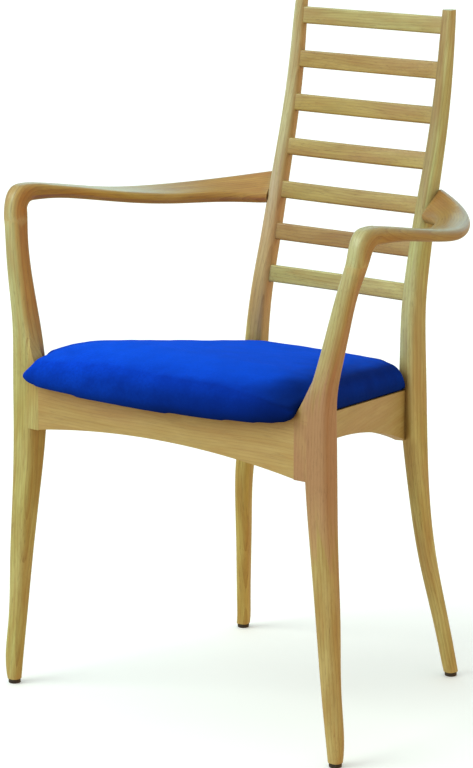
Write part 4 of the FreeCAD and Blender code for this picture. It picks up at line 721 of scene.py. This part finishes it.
def rail_out(y):
    """Half width of the frame at the side rails' outer faces, in seat-plane millimetres."""
    return 247.9 - 0.3097 * y


# The pad's front is rounded over: how far forward it reaches at each level, at mid width and at the corners,
# and how far its sides draw in there.
LEVEL = [0.8, 4.0, 8.0, 12.0, 16.0, 20.0, 24.0, 28.0, 31.0, 33.5, 35.5]
REACH_MID = [-21.0, -20.6, -19.4, -17.0, -13.0, -7.0, 2.0, 15.0, 29.0, 46.0, 70.0]
REACH_END = [-17.0, -14.5, -9.0, 1.0, 16.0, 33.0, 49.0, 65.0, 81.0, 101.0, 130.0]
DRAW_IN = [-0.5, -1.2, -1.0, 0.0, 0.8, 2.0, 4.0, 7.0, 10.5, 15.0, 21.0]


def front_reach(x, z):
    t = max(0.0, (abs(x) - 40.0) / 188.0)
    mid, end = np.interp(z, LEVEL, REACH_MID), np.interp(z, LEVEL, REACH_END)
    return mid + (end - mid) * t ** 2.6


def body_outline(z, i):
    """Half outline from mid front to mid back, evenly resampled, then mirrored."""
    notch_x = 220.0 + 0.5 * min(z, 20.0) - 0.5 * max(i, 0.0)
    notch_y = 31.5 + 0.5 * max(i, 0.0)
    half, x = [], 0.0
    while True:
        y = front_reach(x, z)
        limit = notch_x if y < notch_y else rail_out(y) + 2.4 - i
        if x >= limit:
            break
        half.append((x, y))
        x += 3.0
    y = half[-1][1]
    if y < notch_y:
        half += [(notch_x, yy) for yy in np.arange(y + 3.0, notch_y - 1.0, 3.0)] + [(notch_x + 3.0, notch_y)]
        y = notch_y
    half += [(rail_out(yy) + 2.4 - i, yy) for yy in np.arange(y + 3.0, 342.0, 3.0)]
    k = max(i, 0.0)
    low = 1.0 - min(max(z - 6.0, 0.0) / 16.0, 1.0)
    half += [(rail_out(345.0) + 3.6 - 0.8 * i, 345.0 - 0.2 * k), (rail_out(351.0) + 2.0 - 0.8 * i + 1.5 * low, 351.5 - 0.3 * k + 2.0 * low),
             (130.0 - 0.8 * k + 5.5 * low, 357.0 - 0.4 * k + 7.0 * low), (113.0 - 0.6 * k + 2.5 * low, 361.0 - 0.5 * k + 5.0 * low),
             (111.5 - 0.6 * k + 3.5 * low, 372.0 - 0.7 * k + 2.0 * low), (106.0 - 0.6 * k + 8.5 * low, 384.0 - 0.9 * k + 6.0 * low),
             (60.0, 387.0 - 0.9 * k + 4.0 * low), (0.0, 388.0 - 0.9 * k + 3.5 * low)]
    p = np.array(half)
    d = np.concatenate([[0.0], np.cumsum(np.linalg.norm(np.diff(p, axis=0), axis=1))])
    u = np.linspace(0.0, d[-1], 150)
    half = list(zip(np.interp(u, d, p[:, 0]), np.interp(u, d, p[:, 1])))
    return half + [(-x, y) for x, y in reversed(half[1:-1])]


def loft(rings):
    """Closed lofted shell through rings of equal length, with fans at both ends."""
    n = len(rings[0])
    co = [p for r in rings for p in r]
    faces = []
    for a in range(len(rings) - 1):
        for k in range(n):
            q = (k + 1) % n
            faces.append((a * n + k, a * n + q, (a + 1) * n + q, (a + 1) * n + k))
    faces.append(tuple(reversed(range(n))))
    faces.append(tuple(range((len(rings) - 1) * n, len(rings) * n)))
    return co, faces


co1, f1 = loft([[(x, y, z) for x, y in body_outline(z, i)] for z, i in zip(LEVEL, DRAW_IN)])

# The roll that hangs in front of the front rail: across, lowest, highest, front, back.
ROLL = [(-234.0, -14.0, -7.0, -15.0, -7.0), (-230.0, -18.5, -4.0, -17.5, -4.6), (-222.0, -22.5, -1.0, -19.0, -3.8),
        (-206.0, -25.5, 3.0, -20.0, -3.6), (-178.0, -28.0, 7.0, -20.6, -3.6), (-120.0, -30.0, 10.0, -21.0, -3.6),
        (-20.0, -30.5, 12.0, -21.2, -3.6), (60.0, -28.5, 12.0, -21.2, -3.6), (110.0, -25.5, 10.0, -21.0, -3.6),
        (162.0, -21.5, 9.0, -20.6, -3.6), (190.0, -18.0, 9.0, -20.2, -3.4), (207.0, -15.0, 9.0, -19.6, -3.0),
        (217.0, -11.5, 9.0, -18.2, -2.6), (225.0, -6.5, 7.0, -15.0, -3.4)]
rings = []
for x, lo, hi, fr, bk in ROLL:
    ring = []
    for k in range(24):
        a = 2.0 * math.pi * k / 24
        c, s = math.cos(a), math.sin(a)
        e = 0.62
        ring.append((x, 0.5 * (fr + bk) + 0.5 * (bk - fr) * math.copysign(abs(c) ** e, c),
                     0.5 * (lo + hi) + 0.5 * (hi - lo) * math.copysign(abs(s) ** e, s)))
    rings.append(ring)
co2, f2 = loft(rings)
blank = np.array(co1 + co2) / 1000.0
pad = mesh_object("seat_pad", blank, f1 + [tuple(k + len(co1) for k in f) for f in f2])
bm = bmesh.new()
bm.from_mesh(pad.data)
bmesh.ops.recalc_face_normals(bm, faces=bm.faces)
bm.to_mesh(pad.data)
bm.free()

rm = pad.modifiers.new("remesh", "REMESH")
rm.mode = "VOXEL"
rm.voxel_size = 0.0042
me = evaluated_mesh(pad)
start = relax(me, get_co(me), 10)
set_co(me, start)

cl = pad.modifiers.new("cloth", "CLOTH")
st = cl.settings
st.quality = 6
st.mass = 0.3
st.tension_stiffness = st.compression_stiffness = 18.0
st.shear_stiffness = 8.0
st.bending_stiffness = 1.5
st.use_pressure = True
st.uniform_pressure_force = 4.0
st.effector_weights.gravity = 0.0
cl.collision_settings.use_collision = False
cl.collision_settings.use_self_collision = False
cl.point_cache.frame_start, cl.point_cache.frame_end = 1, 20
for f in range(1, 21):
    scene.frame_set(f)
me = evaluated_mesh(pad)
scene.frame_set(1)
move = get_co(me) - start
far = np.linalg.norm(move, axis=1)
# Firm at the rim, where the cover is pulled round the board, and softer towards the middle.
x, y, z = start.T * 1000.0
rim = np.minimum(rail_out(y) + 2.0 - np.abs(x), np.minimum(y + 20.0, 388.0 - y))
cap = 0.0012 + 0.0072 * np.clip((rim - 12.0) / 90.0, 0.0, 1.0) * np.clip((z - 12.0) / 18.0, 0.0, 1.0)
move *= (cap * np.tanh(far / cap) / np.maximum(far, 1e-9))[:, None]
co = relax(me, start + move, 3)

# The seat board's outline, in seat-plane millimetres.
BOARD = [(211.0, 3.8), (211.0, 36.5), (232.5, 36.5), (131.5, 361.0), (108.0, 361.0), (108.0, 384.0)]
board = BOARD + [(-x, y) for x, y in reversed(BOARD)]


def outside(points, poly):
    """Signed distance from the outline, positive outside, and the nearest outline point."""
    best = np.full(len(points), 1e9)
    at = np.zeros((len(points), 2))
    inside = np.zeros(len(points), bool)
    for (ax, ay), (bx, by) in zip(poly, poly[1:] + poly[:1]):
        a, d = np.array([ax, ay]), np.array([bx - ax, by - ay])
        s = np.clip(((points - a) @ d) / (d @ d), 0, 1)
        c = a + s[:, None] * d
        dist = np.linalg.norm(points - c, axis=1)
        closer = dist < best
        best[closer], at[closer] = dist[closer], c[closer]
        cross = ((ay > points[:, 1]) != (by > points[:, 1]))
        with np.errstate(divide="ignore", invalid="ignore"):
            xi = (bx - ax) * (points[:, 1] - ay) / (by - ay) + ax
        inside ^= cross & (points[:, 0] < xi)
    return np.where(inside, -best, best), at


# It rests on the rails and the board, and the lip stays clear of the rail's front.
q = co * 1000.0
side = (np.abs(q[:, 0]) > rail_out(q[:, 1]) - 12.0) & (q[:, 1] > 41.0) & (q[:, 2] < 9.0)
sink = np.clip(1.0 - q[:, 2] / 9.0, 0.0, 1.0) ** 2
q[side, 0] += (np.sign(q[:, 0]) * 5.0 * sink)[side]
q[side, 2] -= (4.5 * sink)[side]
# At the back and behind the front legs the cover is drawn round the board's edge in the same way.
sd, at = outside(q[:, :2], board)
turn = ((q[:, 1] > 352.0) | ((q[:, 1] > 26.0) & (q[:, 1] < 46.0) & (np.abs(q[:, 0]) > 205.0))) & (q[:, 2] < 14.0) & (sd > -11.0)
way = q[:, :2] - at
way *= (np.sign(sd) / np.maximum(np.linalg.norm(way, axis=1), 1e-6))[:, None]
sink = np.clip(1.0 - q[:, 2] / 14.0, 0.0, 1.0) ** 1.2
q[turn, :2] += (way * (5.6 * sink)[:, None])[turn]
q[turn, 2] -= (4.5 * sink)[turn]
over = q[:, 1] > -3.4
beside = over & (np.abs(q[:, 0]) > rail_out(q[:, 1]) + 1.3) & (q[:, 1] > 41.0)
q[beside, 2] = np.maximum(q[beside, 2], -1.6)
over &= ~beside
q[over, 2] = np.maximum(q[over, 2], 0.7)
low = q[:, 2] < 2.0
q[low & ~over, 1] = np.minimum(q[low & ~over, 1], -3.2)
# Slack in the cover: faint hollows and pulls.
for k in range(len(q)):
    v = Vector(q[k])
    d = noise.noise(v * 0.021) * 0.9 + noise.noise(v * 0.052 + Vector((7.0, 3.0, 1.0))) * 0.35
    if q[k, 2] > 3.0:
        q[k, 2] += d * min(1.0, (q[k, 2] - 3.0) / 12.0)
set_co(me, q / 1000.0)
sub = pad.modifiers.new("subdivide", "SUBSURF")
sub.levels = sub.render_levels = 1
me = evaluated_mesh(pad)
co = seat_to_world(get_co(me) * 1000.0)


def tree_of(name):
    m = nodes[name].data
    m.calc_loop_triangles()
    return BVHTree.FromPolygons([v.co[:] for v in m.vertices], [tuple(x.vertices) for x in m.loop_triangles])


def keep_clear(co, names, gap):
    """Points that are inside a neighbour, or nearer than the gap, go out to the gap."""
    co = co.copy()
    for n in names:
        lo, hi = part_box(n)
        lo, hi = np.array(lo) - gap, np.array(hi) + gap
        t = tree_of(n)
        for k in np.nonzero(np.all((co > lo) & (co < hi), axis=1))[0]:
            p = Vector(co[k])
            hit, nor, _, dist = t.find_nearest(p, 0.03)
            if hit is None:
                continue
            inside = (p - hit).dot(nor) < 0
            if inside or dist < gap:
                co[k] = hit + nor * gap
    return co


near = ["front_leg_right", "front_leg_left", "rear_post_right", "rear_post_left", "front_rail", "side_rail_right", "side_rail_left", "rear_rail"]
for _ in range(2):
    out = keep_clear(co, near, 0.0016)
    moved = np.linalg.norm(out - co, axis=1) > 1e-6
    soft = relax(me, out, 2)
    co = np.where(moved[:, None], out * 0.4 + soft * 0.6, out)
co = keep_clear(co, near, 0.0012)

# The board fits up into the underside.
q = world_to_seat(co)
sd, at = outside(q[:, :2], board)
under = (q[:, 2] < 10.6) & (sd < 0.9)
q[under, 2] = 10.7
co = seat_to_world(q)
set_co(me, co)
me.polygons.foreach_set("use_smooth", np.ones(len(me.polygons), bool))
CLOTH = blue_cloth("blue_wool")
me.materials.clear()
me.materials.append(CLOTH)
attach(pad, "root")
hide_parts("seat_cover", "seat_foam")


# ---------------------------------------------------------------- hem and dust cloth under the board

def ring_strip(name, outer, inner, z0, z1, step):
    """A flat ring of cloth between two closed outlines that match point for point."""
    n = len(outer)
    co, faces = [], []
    for pts, zz in ((outer, z0), (inner, z0), (inner, z1), (outer, z1)):
        co += [(x, y, zz + (0.12 * noise.noise(Vector((x * 0.05, y * 0.05, 2.0))))) for x, y in pts]
    for k in range(n):
        r = (k + 1) % n
        for a in range(4):
            b = (a + 1) % 4
            faces.append((a * n + k, b * n + k, b * n + r, a * n + r))
    return mesh_object(name, seat_to_world(co), faces)


def resample(poly, step):
    pts = []
    for (ax, ay), (bx, by) in zip(poly, poly[1:] + poly[:1]):
        m = max(1, int(math.hypot(bx - ax, by - ay) / step))
        pts += [(ax + (bx - ax) * k / m, ay + (by - ay) * k / m) for k in range(m)]
    return pts


hem_out = resample([(x, y) for x, y in board], 6.0)
opening = [(190.5, 45.8), (92.5, 333.0), (-92.5, 333.0), (-190.5, 45.8)]
_, near_open = outside(np.array(hem_out), opening)
ragged = []
for k, (x, y) in enumerate(near_open):
    c = Vector((0.0, 190.0))
    d = (c - Vector((x, y))).normalized()
    w = 1.1 * noise.noise(Vector((x * 0.06, y * 0.06, 9.0)))
    ragged.append((x + d.x * w, y + d.y * w))
hem = ring_strip("cover_hem", hem_out, ragged, 0.18, 1.05, 6.0)
hem.data.materials.append(CLOTH)
bm = bmesh.new()
bm.from_mesh(hem.data)
bmesh.ops.remove_doubles(bm, verts=bm.verts, dist=1e-6)
bmesh.ops.recalc_face_normals(bm, faces=bm.faces)
bm.to_mesh(hem.data)
bm.free()


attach(hem, "root")

nu, nv = 60, 48
co, faces = [], []
for side in (0, 1):
    for j in range(nv + 1):
        v = j / nv
        half = 188.5 + (90.5 - 188.5) * v
        y = 46.8 + (332.0 - 46.8) * v
        for i in range(nu + 1):
            u = 2.0 * i / nu - 1.0
            edge = (1 - u ** 4) * (1 - (2 * v - 1) ** 4)
            sag = edge * (1.3 + 0.9 * noise.noise(Vector((u * 2.2, v * 5.0, 4.0))) + 0.5 * noise.noise(Vector((u * 6.0, v * 9.0, 1.0))))
            co.append((u * half, y, (0.45 if side == 0 else 1.10) - max(0.0, sag)))
m1 = (nu + 1) * (nv + 1)
for j in range(nv):
    for i in range(nu):
        a = j * (nu + 1) + i
        b, c, d = a + 1, a + nu + 2, a + nu + 1
        faces += [(d, c, b, a), (m1 + a, m1 + b, m1 + c, m1 + d)]
rim = [i for i in range(nu + 1)] + [j * (nu + 1) + nu for j in range(1, nv + 1)] + \
      [nv * (nu + 1) + i for i in range(nu - 1, -1, -1)] + [j * (nu + 1) for j in range(nv - 1, 0, -1)]
for a, b in zip(rim, rim[1:] + rim[:1]):
    faces.append((a, b, m1 + b, m1 + a))
dust = mesh_object("under_cloth", seat_to_world(co), faces)
dust.data.polygons.foreach_set("use_smooth", np.ones(len(dust.data.polygons), bool))
dust.data.materials.append(dust_fabric("dust_fabric"))
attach(dust, "root")
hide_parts("dust_cloth")


# ---------------------------------------------------------------- floor

floor = mesh_object("floor", [(-600, -600, 0), (600, -600, 0), (600, 600, 0), (-600, 600, 0)], [(0, 1, 2, 3)])
floor.location.z = -0.0002
floor.data.materials.append(floor_material())
# The floor takes light and shadow but throws none back, as a studio's dark surround would.
floor.visible_diffuse = False
floor.visible_glossy = False
# A white studio wall far round the chair, behind the floor in low views; it neither lights the chair nor shades it.
turns = [2.0 * math.pi * k / 96 for k in range(96)]
wall = mesh_object("studio_wall", [(30.0 * math.cos(a), 30.0 * math.sin(a), z) for z in (-0.01, 9.0) for a in turns],
                   [(k, 96 + k, 96 + (k + 1) % 96, (k + 1) % 96) for k in range(96)])
w_mat, w_tree, w_shader = new_material("studio_white")
w_shader.inputs["Base Color"].default_value = (0.0, 0.0, 0.0, 1.0)
w_shader.inputs["Specular IOR Level"].default_value = 0.0
w_shader.inputs["Emission Color"].default_value = (1.0, 1.0, 1.0, 1.0)
w_shader.inputs["Emission Strength"].default_value = 1.1
w_mat.cycles.emission_sampling = "NONE"
wall.data.materials.append(w_mat)
wall.visible_diffuse = False
wall.visible_glossy = False
wall.visible_shadow = False
